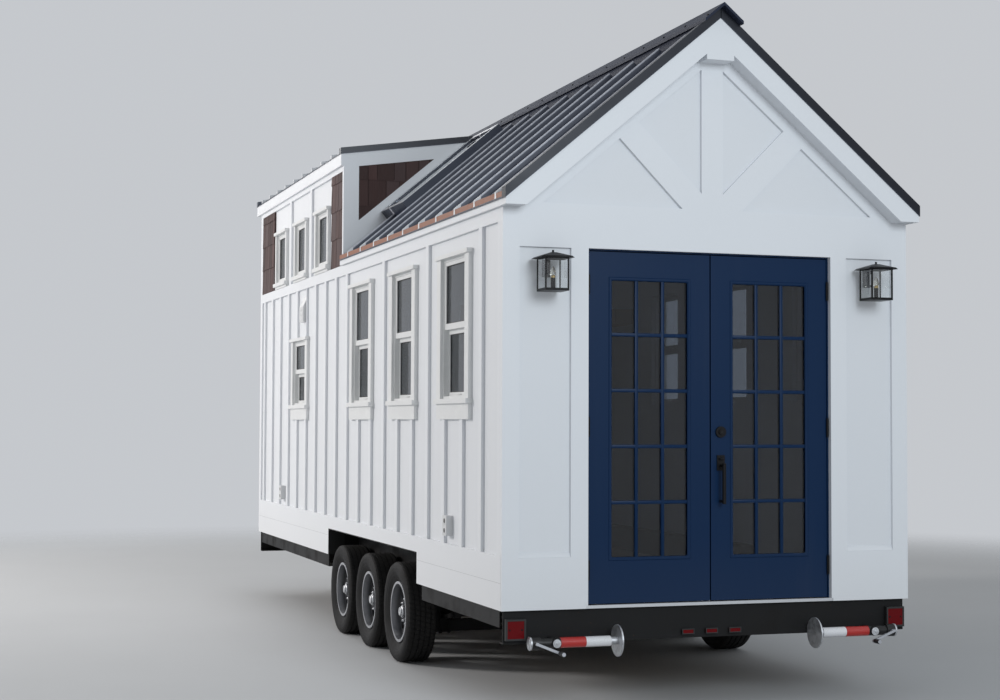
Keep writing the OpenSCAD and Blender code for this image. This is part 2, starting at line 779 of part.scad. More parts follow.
// Doors
stop_w = 12;
stop_gap = 5;
sill_front = 4;
module door_frame() {
    color("midnightblue") placed() {
        slab_y(jamb_y, inner_y0) difference() {
            rect([-door_hole_x, sill_z], [door_hole_x, door_hole_z]);
            rect([-jamb_x, 0], [jamb_x, jamb_z]);
        }
        slab_y(leaf_y + leaf_t + stop_gap, inner_y0) difference() {
            rect([-jamb_x - 1, sill_z], [jamb_x + 1, jamb_z + 1]);
            rect([-jamb_x + stop_w, 0], [jamb_x - stop_w, jamb_z - stop_w]);
        }
    }
    color("silver") placed() block([-door_hole_x, sill_front, deck_h], [door_hole_x, inner_y0, sill_z]);
}
glass_in = 12;
glass_lap = 8;
module leaf_outline() { rect([leaf_meet / 2, leaf_z0], [leaf_meet / 2 + leaf_w, leaf_z1]); }
module leaf_light(band) {
    rect([leaf_meet / 2 + stile_w - band, leaf_z0 + bottom_rail - band],
         [leaf_meet / 2 + leaf_w - stile_w + band, leaf_z1 - top_rail + band]);
}
module door_leaf(side) {
    color("midnightblue") placed() on_side(side) difference() {
        slab_y(leaf_y, leaf_y + leaf_t) difference() { leaf_outline(); leaf_light(0); }
        slab_y(leaf_y + glass_in, leaf_y + leaf_t - glass_in) leaf_light(glass_lap);
        if (side > 0) lock_bores();
    }
}
module door_glass(side) {
    color([0.6, 0.7, 0.75, 0.4]) placed() on_side(side)
        slab_y(leaf_y + glass_in, leaf_y + leaf_t - glass_in) leaf_light(glass_lap);
}
module left_door() { door_leaf(-1); }
module right_door() { door_leaf(1); }
module left_door_glass() { door_glass(-1); }
module right_door_glass() { door_glass(1); }
knuckle = hinge_len / 3;
knuckle_gap = 0.3;
hinge_plate_t = 2;
hinge_plate_w = 40;
module hinge_plate(x0, z0, z1) { block([x0, leaf_y, z0], [x0 + hinge_plate_t, leaf_y + hinge_plate_w, z1]); }
module knuckle_at(z0, z1, x0) {
    translate([hinge_x, hinge_y, z0]) cylinder(h = z1 - z0, r = hinge_r);
    block([x0, hinge_y, z0], [x0 + hinge_plate_t, leaf_y + 1, z1]);
}
module frame_hinges() {
    x0 = jamb_x - hinge_plate_t;
    color("black") placed() left_too() for (z = hinge_zs) translate([0, 0, z - hinge_len / 2]) {
        hinge_plate(x0, 0, hinge_len);
        knuckle_at(0, knuckle, x0);
        knuckle_at(2 * knuckle, hinge_len, x0);
        translate([hinge_x, hinge_y, 0]) cylinder(h = hinge_len, r = hinge_pin_r);
    }
}
module leaf_hinges(side) {
    x0 = jamb_x - leaf_gap;
    color("black") placed() on_side(side) for (z = hinge_zs) translate([0, 0, z - hinge_len / 2])
        difference() {
            union() {
                hinge_plate(x0, 0, hinge_len);
                knuckle_at(knuckle + knuckle_gap, 2 * knuckle - knuckle_gap, x0);
            }
            translate([hinge_x, hinge_y, -1]) cylinder(h = hinge_len + 2, r = hinge_pin_r + hinge_fit);
        }
}
module left_door_hinges() { leaf_hinges(-1); }
module right_door_hinges() { leaf_hinges(1); }

// Bolt, thumb latch and pull outside; turn piece and lever inside
handle_set = 60;
bolt_h = 983;
latch_h = 812;
handle_x = leaf_meet / 2 + handle_set;
bolt_z = deck_h + bolt_h;
latch_z = deck_h + latch_h;
bore_r = 11;
lock_fit = 0.1;
rose_r = 32;
rose_out = 12;
rose_in = 8;
key_r = 16;
key_out = 20;
turn_half = [6, 22];
turn_out = 22;
plate_half = 24;
plate_t = 8;
plate_low = 50;
plate_high = 38;
thumb_half = 14;
thumb_out = 30;
thumb_z = [14, 20];
pull_out = 50;
pull_r = 11;
pull_post_r = 8;
pull_posts = [22, 226];
pull_end = 14;
lever_rose_r = 30;
lever_post_r = 9;
lever_r = 10;
lever_out = 50;
lever_len = 110;
module lock_bores() {
    for (z = [bolt_z, latch_z]) rod_y(leaf_y - 1, leaf_y + leaf_t + 1, handle_x, z, bore_r);
}
module door_handles() {
    back = leaf_y + leaf_t;
    pull_y = leaf_y - pull_out;
    color("black") placed() {
        for (z = [bolt_z, latch_z]) rod_y(leaf_y - 2, back + 2, handle_x, z, bore_r - lock_fit);
        rod_y(leaf_y - rose_out, leaf_y, handle_x, bolt_z, rose_r);
        rod_y(leaf_y - key_out, leaf_y - rose_out + 1, handle_x, bolt_z, key_r);
        rod_y(back, back + rose_in, handle_x, bolt_z, rose_r);
        block([handle_x - turn_half[0], back + rose_in - 1, bolt_z - turn_half[1]],
              [handle_x + turn_half[0], back + turn_out, bolt_z + turn_half[1]]);
        block([handle_x - plate_half, leaf_y - plate_t, latch_z - plate_low],
              [handle_x + plate_half, leaf_y, latch_z + plate_high]);
        block([handle_x - thumb_half, leaf_y - thumb_out, latch_z + thumb_z[0]],
              [handle_x + thumb_half, leaf_y - plate_t + 1, latch_z + thumb_z[1]]);
        for (drop = pull_posts) rod_y(pull_y, leaf_y, handle_x, latch_z - drop, pull_post_r);
        translate([handle_x, pull_y, latch_z - pull_posts[1] - pull_end])
            cylinder(h = pull_posts[1] - pull_posts[0] + 2 * pull_end, r = pull_r);
        rod_y(back, back + rose_in, handle_x, latch_z, lever_rose_r);
        rod_y(back + rose_in - 1, back + lever_out, handle_x, latch_z, lever_post_r);
        rod_x(handle_x - lever_r, handle_x + lever_len, back + lever_out - 4, latch_z, lever_r);
    }
}

// Lanterns beside the doors
lantern_in = 8;
lantern_drop = 242;
lantern_x = (panel_x0 + panel_x1) / 2 - lantern_in;
lantern_z = leaf_z1 - lantern_drop;
lantern_h = 190;
lantern_bar = 8;
lantern_base = 14;
lantern_head = 12;
lantern_roof_h = 24;
lantern_tip = 15;
finial_r = 6;
candle_r = 13;
candle_h = 60;
back_half = 22;
back_t = 10;
back_foot = 84;
arm_half = 8;
arm_h = 18;
module lantern_frame() {
    half = lantern_w / 2;
    post = half - lantern_bar / 2;
    block([-half, -half, 0], [half, half, lantern_base]);
    block([-half, -half, lantern_h - lantern_head], [half, half, lantern_h]);
    for (sx = [-1, 1], sy = [-1, 1]) translate([sx * post, sy * post, lantern_h / 2])
        cube([lantern_bar, lantern_bar, lantern_h], center = true);
    translate([0, 0, lantern_h]) rotate([0, 0, 45])
        cylinder(h = lantern_roof_h, r1 = (half + lantern_eave) * sqrt(2), r2 = lantern_tip * sqrt(2), $fn = 4);
    translate([0, 0, lantern_h + lantern_roof_h - 1]) cylinder(h = lantern_base, r = finial_r);
    translate([0, 0, lantern_base - 1]) cylinder(h = candle_h, r = candle_r);
}
module at_lanterns() { placed() left_too() translate([lantern_x, lantern_y, lantern_z]) children(); }
module lanterns() {
    back = shell_y0 - lantern_y;
    arm_y0 = lantern_w / 2 - 2;
    arm_z = lantern_h - lantern_head;
    color("black") at_lanterns() {
        lantern_frame();
        block([-back_half, back - back_t, back_foot], [back_half, back, lantern_h]);
        block([-arm_half, arm_y0, arm_z - arm_h], [arm_half, back - back_t + 1, arm_z]);
        block([-arm_half, arm_y0, back_foot], [arm_half, back - back_t + 1, back_foot + lantern_base]);
    }
}
pane_t = 3;
module lantern_panes() {
    half = lantern_w / 2;
    run = half - lantern_bar;
    x0 = half - (lantern_bar + pane_t) / 2;
    for (a = [0 : 90 : 270]) rotate([0, 0, a])
        block([x0, -run, lantern_base], [x0 + pane_t, run, lantern_h - lantern_head]);
}

// Small fittings on the left wall: a vent hood and two covered outlets
vent_mid = 5290;
vent_w = 160;
vent_rise = 1870;
vent_z = deck_h + vent_rise;
vent_out = 42;
vent_front_h = 130;
vent_back_h = 220;
vent_room = 6;
outlet_ys = [1030, 6140];
outlet_w = 80;
outlet_t = 42;
outlet_rise = [350, 470];
module vent_outline() {
    half = vent_w / 2 + vent_room;
    rect([vent_mid - half, vent_z - vent_room], [vent_mid + half, frieze_z]);
}
module vent_hood() {
    translate([shell_x, vent_mid + vent_w / 2, vent_z]) rotate([90, 0, 0]) linear_extrude(vent_w)
        polygon([[0, 0], [vent_out, 0], [vent_out, vent_front_h], [0, vent_back_h]]);
}
module wall_fittings() {
    color("gainsboro") placed() on_side(-1) {
        vent_hood();
        for (y = outlet_ys) block([shell_x, y - outlet_w / 2, deck_h + outlet_rise[0]],
                                  [shell_x + outlet_t, y + outlet_w / 2, deck_h + outlet_rise[1]]);
    }
}

// Trailer frame
module channel(depth, height, wall) {
    difference() {
        square([depth, height]);
        translate([wall, wall]) square([depth, height - 2 * wall]);
    }
}
rail_wall = 10;
thin_wall = 8;
rail_stop = 20;
side_rail_stop = 60;
rail_end = house_len - beam_w - rail_stop;
module long_rails() {
    color("black") placed() left_too() {
        slab_y(beam_y + beam_w, rail_end)
            translate([rail_mid - rail_w / 2, rail_z]) channel(rail_w, rail_h, rail_wall);
        for (run = [[beam_y + beam_w, opening_y0 - side_rail_stop], [opening_y1 + side_rail_stop, rail_end]])
            slab_y(run[0], run[1])
                translate([side_rail_x + side_rail_w, deck_h - side_rail_h]) mirror([1, 0])
                    channel(side_rail_w, side_rail_h, thin_wall);
    }
}
socket_gap = 6.3;
socket_ear_r = 24;
washer_r = 20;
washer_t = 7.7;
module jack_socket() {
    front = jack_y - jack_r - socket_gap;
    rod_y(jack_y + jack_r + socket_gap, beam_y + 1, jack_x, jack_h, socket_ear_r);
    rod_y(front, beam_y, jack_x, jack_h, pivot_r);
    rod_y(front - washer_t, front, jack_x, jack_h, washer_r);
}
module end_beam() {
    color("black") placed() {
        slab_x(-shell_x, 2 * shell_x) translate([beam_y, rail_z]) channel(beam_w, rail_h, thin_wall);
        left_too() jack_socket();
    }
}
joist_pitch = 610;
joist_w = 50;
joist_stop = 200;
joist_room = 120;
module cross_members() {
    joist_z = deck_h - side_rail_h;
    first = beam_y + beam_w + joist_pitch - joist_w;
    color("black") placed() {
        slab_x(-shell_x, 2 * shell_x) translate([rail_end + beam_w, rail_z]) mirror([1, 0])
            channel(beam_w, rail_h, thin_wall);
        for (y = [first : joist_pitch : rail_end - joist_stop]) {
            block([-rail_mid + rail_w / 2, y, joist_z], [rail_mid - rail_w / 2, y + joist_w, deck_h]);
            if (y < opening_y0 - joist_room || y > opening_y1 + joist_w)
                left_too() block([rail_mid + rail_w / 2, y, joist_z], [side_rail_x, y + joist_w, deck_h]);
        }
    }
}
module wheel_wells() {
    color("black") placed() left_too() {
        block([well_x, opening_y0, well_top], [shell_x + trim_t, opening_y1, well_top + well_t]);
        block([well_x - well_t, opening_y0 - well_t, deck_h], [well_x, opening_y1 + well_t, well_top + well_t]);
        for (y = [opening_y0 - well_t, opening_y1])
            block([well_x - 1, y, deck_h], [inner_x, y + well_t, well_top + well_t]);
    }
}
bar_w = 60;
bar_end_w = 78;
bar_in = 40;
bar_nose_x = 20;
module tongue_bar() {
    y0 = rail_end + beam_w;
    y1 = tongue_y - coupler_len;
    polygon([[rail_mid - bar_in, y0], [rail_mid - bar_in - bar_end_w, y0],
             [bar_nose_x, y1], [bar_nose_x + bar_w, y1]]);
}
module tongue_bars() {
    color("black") placed() left_too() slab_z(tongue_z, tongue_z + tongue_h) tongue_bar();
}
socket_r = 30.2;
socket_h = 46;
coupler_plate = [85, 80];
coupler_neck = [70, 10];
coupler_z = [20, 90];
latch_half = 12;
latch_y = [130, 20];
latch_top = 118;
module coupler() {
    y0 = tongue_y - coupler_len;
    color("black") placed() difference() {
        union() {
            block([-coupler_plate.x, y0, tongue_z],
                  [coupler_plate.x, y0 + coupler_plate.y, tongue_z + tongue_h]);
            slab_z(tongue_z + coupler_z[0], tongue_z + coupler_z[1]) hull() {
                translate([-coupler_neck.x, y0 + coupler_plate.y - coupler_neck.y])
                    square([2 * coupler_neck.x, coupler_neck.y]);
                translate([0, tongue_y]) circle(coupler_r);
            }
            block([-latch_half, tongue_y - latch_y[0], tongue_z + coupler_z[1] - 1],
                  [latch_half, tongue_y - latch_y[1], tongue_z + latch_top]);
        }
        translate([0, tongue_y, tongue_z + coupler_z[0] - 1]) cylinder(h = socket_h, r = socket_r);
    }
}
stand_back = 90;
pad_r = 100;
pad_t = 10;
pad_neck = [32, 50];
leg_r = 22;
leg_top = 50;
post_r = 28.5;
post_foot = 150;
post_rise = 330;
post_flange = [130, 45, 10];
gear_r = 38;
gear_h = 60;
winder_rise = 42;
winder_len = 150;
winder_r = 8;
winder_grip = 90;
module tongue_jack() {
    y = tongue_y - coupler_len - stand_back;
    top = tongue_z + tongue_h;
    gear_z = top + post_rise - pad_t;
    color("silver") placed() translate([0, y, 0]) {
        cylinder(h = pad_t, r = pad_r);
        translate([0, 0, pad_t - 1]) cylinder(h = pad_neck[1], r = pad_neck[0]);
        translate([0, 0, pad_neck[1]]) cylinder(h = top - leg_top - pad_neck[1], r = leg_r);
    }
    color("black") placed() {
        translate([0, y, post_foot]) cylinder(h = top + post_rise - post_foot, r = post_r);
        block([-post_flange.x, y - post_flange.y, top],
              [post_flange.x, y + post_flange.y, top + post_flange.z]);
        translate([0, y, gear_z]) cylinder(h = gear_h, r = gear_r);
        rod_x(0, winder_len, y, gear_z + winder_rise, winder_r);
        rod_y(y - winder_r, y + winder_grip, winder_len - winder_r, gear_z + winder_rise, winder_r + 2);
    }
}

// Axles with dropped tubes, leaf springs, hangers and rocker plates between them
drop_in = 10;
drop_rise = 40;
hub_out = 35;
plate_out = 15;
brake_r = 60;
module axle() {
    half = axle_tube / 2;
    drop_x = well_x + drop_in;
    block([-drop_x, -half, axle_z - half], [drop_x, half, axle_z + half]);
    left_too() {
        block([drop_x - axle_tube, -half, axle_z - half], [drop_x, half, tyre_r + drop_rise]);
        rod_x(drop_x - 2, tyre_x + hub_out, 0, tyre_r, spindle_r);
        rod_x(drop_x - 2, tyre_x - tyre_w / 2 + plate_out, 0, tyre_r, brake_r);
    }
}
module axles() {
    color("black") placed() for (y = axle_ys) translate([0, y, 0]) axle();
}
spring_half = 325;
spring_rise = 50;
spring_w = 45;
spring_t = 26;
spring_lift = 14;
saddle_half = 45;
saddle_h = 22;
eye_r = 20;
eye_lift = 12;
hanger_foot = 22;
hanger_head = 34;
rocker_head = 30;
spring_seat = axle_z + axle_tube / 2;
eye_z = spring_seat + spring_rise + eye_lift;
spring_arc_r = (spring_half * spring_half + spring_rise * spring_rise) / (2 * spring_rise);
module spring_shape() {
    difference() {
        intersection() {
            translate([0, spring_seat + spring_lift + spring_arc_r]) circle(spring_arc_r + 2, $fn = 96);
            rect([-spring_half, spring_seat], [spring_half, rail_z]);
        }
        translate([0, spring_seat + spring_lift + spring_arc_r]) circle(spring_arc_r - spring_t, $fn = 96);
    }
    rect([-saddle_half, spring_seat], [saddle_half, spring_seat + saddle_h]);
    for (s = [-1, 1]) translate([s * spring_half, eye_z]) circle(eye_r);
}
module hanger(y, foot, head) {
    polygon([[y - foot, eye_z - spring_lift], [y + foot, eye_z - spring_lift],
             [y + head, rail_z], [y - head, rail_z]]);
}
module springs() {
    color("black") placed() left_too() slab_x(rail_mid - spring_w / 2, spring_w) {
        for (y = axle_ys) translate([y, 0]) spring_shape();
        for (s = [-1, 1]) {
            hanger(axle_mid + s * axle_pitch / 2, axle_pitch / 2 - spring_half, rocker_head);
            hanger(axle_mid + s * (axle_pitch + spring_half), hanger_foot, hanger_head);
        }
    }
}

// Wheels: tyre and rim turn on the spindle
flange_x = tyre_w / 2 - 22;
flange_t = 10;
flange_h = 8;
bead_r = rim_r - 2;
bead_fit = 0.3;
bead_foot = rim_r + 7;
shoulder_r = tyre_r - 12;
wall_bulge = 34;
wall_bend = 125;
tread_edge = [5, 14];
tread_flat = 26;
groove_w = 8;
groove_deep = 7;
groove_pitch = 36;
sidewall_steps = 8;
function sidewall(t) = [bead_foot + 1 + t * (shoulder_r - bead_foot - 1),
                        flange_x - flange_t - 2 + wall_bulge * sin(t * wall_bend)];
half_profile = concat(
    [[bead_r, flange_x - flange_t - bead_fit], [bead_foot, flange_x - flange_t - bead_fit]],
    [for (k = [0 : sidewall_steps]) sidewall(k / sidewall_steps)],
    [[tyre_r - tread_edge[0], tyre_w / 2 - tread_edge[1]], [tyre_r, tyre_w / 2 - tread_flat]]);
profile_last = len(half_profile) - 1;
module tyre_outline() {
    polygon(concat(half_profile, [for (k = [profile_last : -1 : 0]) [half_profile[k].x, -half_profile[k].y]]));
}
module tyre() {
    rotate([0, 90, 0]) rotate_extrude($fn = 96) difference() {
        tyre_outline();
        for (k = [-1.5 : 1 : 1.5]) translate([tyre_r - groove_deep, k * groove_pitch - groove_w / 2])
            square([groove_deep + 3, groove_w]);
    }
}
spoke_count = 8;
rim_t = 9;
disc_x = 10;
disc_t = 12;
hub_r = 42;
hub_x = [-5, 52];
hub_cap_x = 36;
hole_r = 34;
hole_in = 60;
module rim() {
    difference() {
        union() {
            rotate([0, 90, 0]) rotate_extrude($fn = 96) {
                translate([bead_r - rim_t, -flange_x]) square([rim_t, 2 * flange_x]);
                for (x = [-flange_x, flange_x - flange_t])
                    translate([bead_r - rim_t, x]) square([rim_t + flange_h, flange_t]);
                translate([0, disc_x]) square([bead_r - 5, disc_t]);
            }
            rod_x(hub_x[0], hub_x[1], 0, 0, hub_r);
        }
        rod_x(-tyre_w / 3, hub_cap_x, 0, 0, spindle_r + spindle_fit);
        for (k = [0 : spoke_count - 1]) rotate([k * 360 / spoke_count, 0, 0])
            translate([0, 0, rim_r - hole_in]) rotate([0, 90, 0])
                cylinder(h = tyre_w, r = hole_r, center = true);
    }
}
module at_wheel(side, k) { placed() on_side(side) translate([tyre_x, axle_ys[k - 1], tyre_r]) children(); }
module wheel_tyre(side, k) { color([0.08, 0.08, 0.08]) at_wheel(side, k) tyre(); }
module wheel_rim(side, k) { color("silver") at_wheel(side, k) rim(); }

// Lights under the doors
light_side = 110;
light_in = 30;
light_t = 28;
light_rise = 12;
marker_pitch = 147;
marker_half = 32;
marker_t = 16;
marker_rise = [24, 48];
module tail_lights() {
    light_x = house_w / 2 - light_in;
    light_z = jack_h + light_rise;
    color("darkred") placed() {
        left_too() block([light_x - light_side, beam_y - light_t, light_z],
                         [light_x, beam_y, light_z + light_side]);
        for (k = [-1 : 1]) translate([k * marker_pitch, 0, rail_z])
            block([-marker_half, beam_y - marker_t, marker_rise[0]], [marker_half, beam_y, marker_rise[1]]);
    }
}

// Stored jacks: each swings down about a pin that points along y
crank_x = 115;
crank_len = 150;
crank_tilt = 22;
crank_half = 7;
crank_r = 9;
crank_arm = [-4, 6];
crank_end = 12;
grip_r = 11;
pivot_r = 14;
bore_fit = 0.06;
ring_r = 26;
ring_out = 6;
jack_top = 148;
tube_top = 90;
gear_case_r = 36;
tube_wall = 6;
tube_stop = 50;
foot_gap = 14;
module jack_body() {
    half = jack_r + ring_out;
    color("black") difference() {
        union() {
            rod_x(tube_stop - jack_reach, tube_top, 0, 0, jack_r);
            rod_y(-half, half, 0, 0, ring_r);
            rod_x(tube_top - 2, jack_top, 0, 0, gear_case_r);
            rod_y(crank_arm[0] - crank_out + 8, 0, crank_x, 0, crank_r);
            translate([crank_x, -crank_out, 0]) rotate([0, 180 - crank_tilt, 0]) {
                block([-crank_end, crank_arm[0], -crank_half], [crank_len, crank_arm[1], crank_half]);
                rod_y(-grip_len, 0, crank_len - crank_end, 0, grip_r);
            }
        }
        rod_x(tube_stop - jack_reach - 10, -ring_r - 10, 0, 0, jack_r - tube_wall);
        rod_y(-half - 4, half + 4, 0, 0, pivot_r + bore_fit);
    }
}
module jack_foot() {
    color("silver") {
        rod_x(1 - jack_reach, -ring_r - foot_gap, 0, 0, jack_r - tube_wall - bore_fit);
        rod_x(-jack_reach, -jack_reach + foot_t, 0, 0, foot_r);
    }
}
module at_jack(side) { placed() on_side(side) translate([jack_x, jack_y, jack_h]) children(); }
module left_jack() { at_jack(-1) jack_body(); }
module right_jack() { at_jack(1) jack_body(); }
module left_jack_foot() { at_jack(-1) jack_foot(); }
module right_jack_foot() { at_jack(1) jack_foot(); }

long_rails();
end_beam();
cross_members();
tongue_bars();
coupler();
tongue_jack();
axles();
springs();
wheel_wells();
wheel_tyre(-1, 1);  // left_tyre_1
wheel_tyre(-1, 2);  // left_tyre_2
wheel_tyre(-1, 3);  // left_tyre_3
wheel_tyre(1, 1);  // right_tyre_1
wheel_tyre(1, 2);  // right_tyre_2
wheel_tyre(1, 3);  // right_tyre_3
wheel_rim(-1, 1);  // left_rim_1
wheel_rim(-1, 2);  // left_rim_2
wheel_rim(-1, 3);  // left_rim_3
wheel_rim(1, 1);  // right_rim_1
wheel_rim(1, 2);  // right_rim_2
wheel_rim(1, 3);  // right_rim_3
floors();
left_wall();
right_wall();
front_wall();
front_gable();
back_wall();
dormer_walls();
dormer_cheeks();
main_roof();
dormer_roof();
ridge_board();
main_roofing();
dormer_roofing();
ridge_cap();
end_trim();
side_trim();
edge_boards();
skirts();
battens();
shake_panels();
windows();
glazing();
door_frame();
frame_hinges();
left_door();
left_door_glass();
left_door_hinges();
right_door();
right_door_glass();
right_door_hinges();
door_handles();
lanterns();
tail_lights();
wall_fittings();
left_jack();
left_jack_foot();
right_jack();
right_jack_foot();
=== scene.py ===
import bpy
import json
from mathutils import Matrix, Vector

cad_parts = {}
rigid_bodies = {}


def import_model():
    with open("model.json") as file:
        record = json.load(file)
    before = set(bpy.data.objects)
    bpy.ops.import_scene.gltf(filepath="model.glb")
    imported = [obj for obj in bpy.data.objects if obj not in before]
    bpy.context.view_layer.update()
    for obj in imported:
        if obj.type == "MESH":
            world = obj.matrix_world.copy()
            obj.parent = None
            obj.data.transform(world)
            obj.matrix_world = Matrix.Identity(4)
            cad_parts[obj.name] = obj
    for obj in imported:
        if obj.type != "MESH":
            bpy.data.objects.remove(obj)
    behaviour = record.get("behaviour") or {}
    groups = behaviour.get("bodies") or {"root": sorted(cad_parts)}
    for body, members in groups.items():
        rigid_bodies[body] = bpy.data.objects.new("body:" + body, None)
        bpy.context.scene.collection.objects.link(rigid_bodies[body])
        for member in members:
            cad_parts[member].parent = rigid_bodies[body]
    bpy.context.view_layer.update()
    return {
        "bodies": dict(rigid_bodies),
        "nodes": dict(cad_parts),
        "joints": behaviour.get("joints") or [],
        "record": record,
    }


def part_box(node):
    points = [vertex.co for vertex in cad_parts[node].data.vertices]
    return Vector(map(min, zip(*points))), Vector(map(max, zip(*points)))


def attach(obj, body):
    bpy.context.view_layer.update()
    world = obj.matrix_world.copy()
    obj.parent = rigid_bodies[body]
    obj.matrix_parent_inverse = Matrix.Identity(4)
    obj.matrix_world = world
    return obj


bl_info = {
    "name": "Tiny house on wheels",
    "version": (1, 0, 0),
    "blender": (4, 5, 0),
    "location": "3D View > Sidebar > Tiny House",
    "description": "Finishes and fine work for a gabled tiny house on a three axle trailer",
    "category": "Object",
}

import json
import math
import random

import bpy
from bpy.props import FloatProperty, FloatVectorProperty, IntProperty, PointerProperty
from mathutils import Matrix, Vector

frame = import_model()
NODES = frame["nodes"]

# The house's main lines, in metres. FRONT is the trim face of the door end.
FRONT = -4.2515
HALF_W = 1.27
DECK = 0.570
WALL_TOP = 2.799
SHELL_X = 1.251
EAVE_X = 1.291
RIDGE = 3.91772
PITCH = math.radians(40)
DORMER_PITCH = math.radians(8)
DORMER_Y = FRONT + 3.880
DORMER_JOIN = 0.118
RAKE = 0.113
AXLES = [FRONT + y for y in (2.275, 3.090, 3.905)]
WHEEL_X = 1.1625
TYRE_R = 0.332
SIDE_WINDOWS = [(0.945, 0.855), (2.120, 0.855), (3.280, 0.855), (5.470, 0.545)]
WINDOW_FOOT = DECK + 1.175
WINDOW_W = 0.500
DORMER_WINDOWS = [4.630, 5.465, 6.300]
DORMER_FOOT = WALL_TOP + 0.052
DORMER_SIZE = (0.410, 0.440)
OPENING = (FRONT + 1.725, FRONT + 4.289)
OPENING_TOP = DECK + 0.201
SILL_TOP = DECK + 0.0172
RIB_BAND = 0.0168
EDGE_TRIM = 0.062
JACK_SPOT = (HALF_W - 0.285, FRONT - 0.068, 0.398)
JACK_BODY_R = 0.040
DOOR_HINGE = (0.75125, FRONT + 0.0235)
SHAKE_STRIPS = ((3.900, 4.280), (6.640, 7.190))


def deck_z(x):
    return RIDGE - abs(x) * math.tan(PITCH)


def dormer_deck_z(x):
    return deck_z(DORMER_JOIN) - (abs(x) - DORMER_JOIN) * math.tan(DORMER_PITCH)


# ---------------------------------------------------------------- finishes

class Wire:
    """A shader value that adds, multiplies and compares as a number does."""

    def __init__(self, tree, socket):
        self.tree = tree
        self.socket = socket

    def work(self, operation, *values, clamp=False):
        node = self.tree.nodes.new("ShaderNodeMath")
        node.operation = operation
        node.use_clamp = clamp
        for slot, value in zip(node.inputs, values):
            if isinstance(value, Wire):
                self.tree.links.new(value.socket, slot)
            else:
                slot.default_value = value
        return Wire(self.tree, node.outputs[0])

    def __add__(self, other):
        return self.work("ADD", self, other)

    def __radd__(self, other):
        return self.work("ADD", other, self)

    def __sub__(self, other):
        return self.work("SUBTRACT", self, other)

    def __rsub__(self, other):
        return self.work("SUBTRACT", other, self)

    def __mul__(self, other):
        return self.work("MULTIPLY", self, other)

    def __rmul__(self, other):
        return self.work("MULTIPLY", other, self)

    def __truediv__(self, other):
        return self.work("DIVIDE", self, other)

    def __gt__(self, other):
        return self.work("GREATER_THAN", self, other)

    def __lt__(self, other):
        return self.work("LESS_THAN", self, other)

    def __mod__(self, other):
        return self.work("FLOORED_MODULO", self, other)

    def __abs__(self):
        return self.work("ABSOLUTE", self)

    def held(self):
        return self.work("ADD", self, 0.0, clamp=True)


class Finish:
    """One material: a Principled shader and the pattern that varies over it."""

    def __init__(self, name, colour, rough=0.5, metal=0.0, **fixed):
        self.material = bpy.data.materials.new(name)
        self.material.use_nodes = True
        self.tree = self.material.node_tree
        self.tree.nodes.clear()
        self.shader = self.tree.nodes.new("ShaderNodeBsdfPrincipled")
        output = self.tree.nodes.new("ShaderNodeOutputMaterial")
        self.tree.links.new(self.shader.outputs[0], output.inputs["Surface"])
        self.colour = (*colour[:3], 1.0)
        self.set("Base Color", self.colour)
        self.set("Roughness", rough)
        self.set("Metallic", metal)
        for socket, value in fixed.items():
            self.set(socket.replace("_", " "), value)
        self.place = self.node("ShaderNodeTexCoord", out="Object")
        self.x = self.node("ShaderNodeSeparateXYZ", inputs={0: self.place}, out=0)
        self.y = Wire(self.tree, self.x.socket.node.outputs[1])
        self.z = Wire(self.tree, self.x.socket.node.outputs[2])
        self.material.diffuse_color = self.colour

    def set(self, socket, value):
        if isinstance(value, Wire):
            self.tree.links.new(value.socket, self.shader.inputs[socket])
        else:
            self.shader.inputs[socket].default_value = value

    def node(self, kind, settings=None, inputs=None, out=0):
        node = self.tree.nodes.new(kind)
        for key, value in (settings or {}).items():
            if key == "stops":
                ramp = node.color_ramp.elements
                while len(ramp) < len(value):
                    ramp.new(1.0)
                for stop, (spot, shade) in zip(ramp, value):
                    stop.position = spot
                    stop.color = shade
            else:
                setattr(node, key, value)
        for key, value in (inputs or {}).items():
            if isinstance(value, Wire):
                self.tree.links.new(value.socket, node.inputs[key])
            else:
                node.inputs[key].default_value = value
        return Wire(self.tree, node.outputs[out])

    def stretched(self, stretch, spot=None):
        return self.node("ShaderNodeVectorMath", {"operation": "MULTIPLY"},
                         {0: spot or self.place, 1: stretch})

    def noise(self, stretch, detail=3.0, spot=None):
        return self.node("ShaderNodeTexNoise", {},
                         {"Vector": self.stretched(stretch, spot), "Scale": 1.0, "Detail": detail})

    def cells(self, stretch, feature="F1", out=0, spot=None):
        return self.node("ShaderNodeTexVoronoi", {"feature": feature},
                         {"Vector": self.stretched(stretch, spot), "Scale": 1.0}, out)

    def fade(self, value, low, high):
        """0 below low and 1 above high, with a smooth run between them."""
        return self.node("ShaderNodeMapRange", {"interpolation_type": "SMOOTHSTEP"},
                         {0: value, 1: low, 2: high, 3: 0.0, 4: 1.0})

    def mix(self, amount, a, b):
        def four(c):
            return c if isinstance(c, Wire) else (*c[:3], 1.0)
        return self.node("ShaderNodeMix", {"data_type": "RGBA"}, {0: amount, 6: four(a), 7: four(b)}, 2)

    def tone(self, colour, amount):
        """The colour made darker or lighter by a factor that varies."""
        shade = self.node("ShaderNodeCombineXYZ", {}, {0: amount, 1: amount, 2: amount})
        colour = colour if isinstance(colour, Wire) else tuple(colour[:3])
        return self.node("ShaderNodeVectorMath", {"operation": "MULTIPLY"}, {0: colour, 1: shade})

    def bump(self, height, depth, strength=1.0, under=None):
        inputs = {"Height": height, "Distance": depth, "Strength": strength}
        if under is not None:
            inputs["Normal"] = under
        return self.node("ShaderNodeBump", {}, inputs)


def grooves(value, pitch, width):
    """1 in narrow lines that repeat along a value, 0 between them."""
    return abs(value % pitch - pitch / 2) > pitch / 2 - width / 2


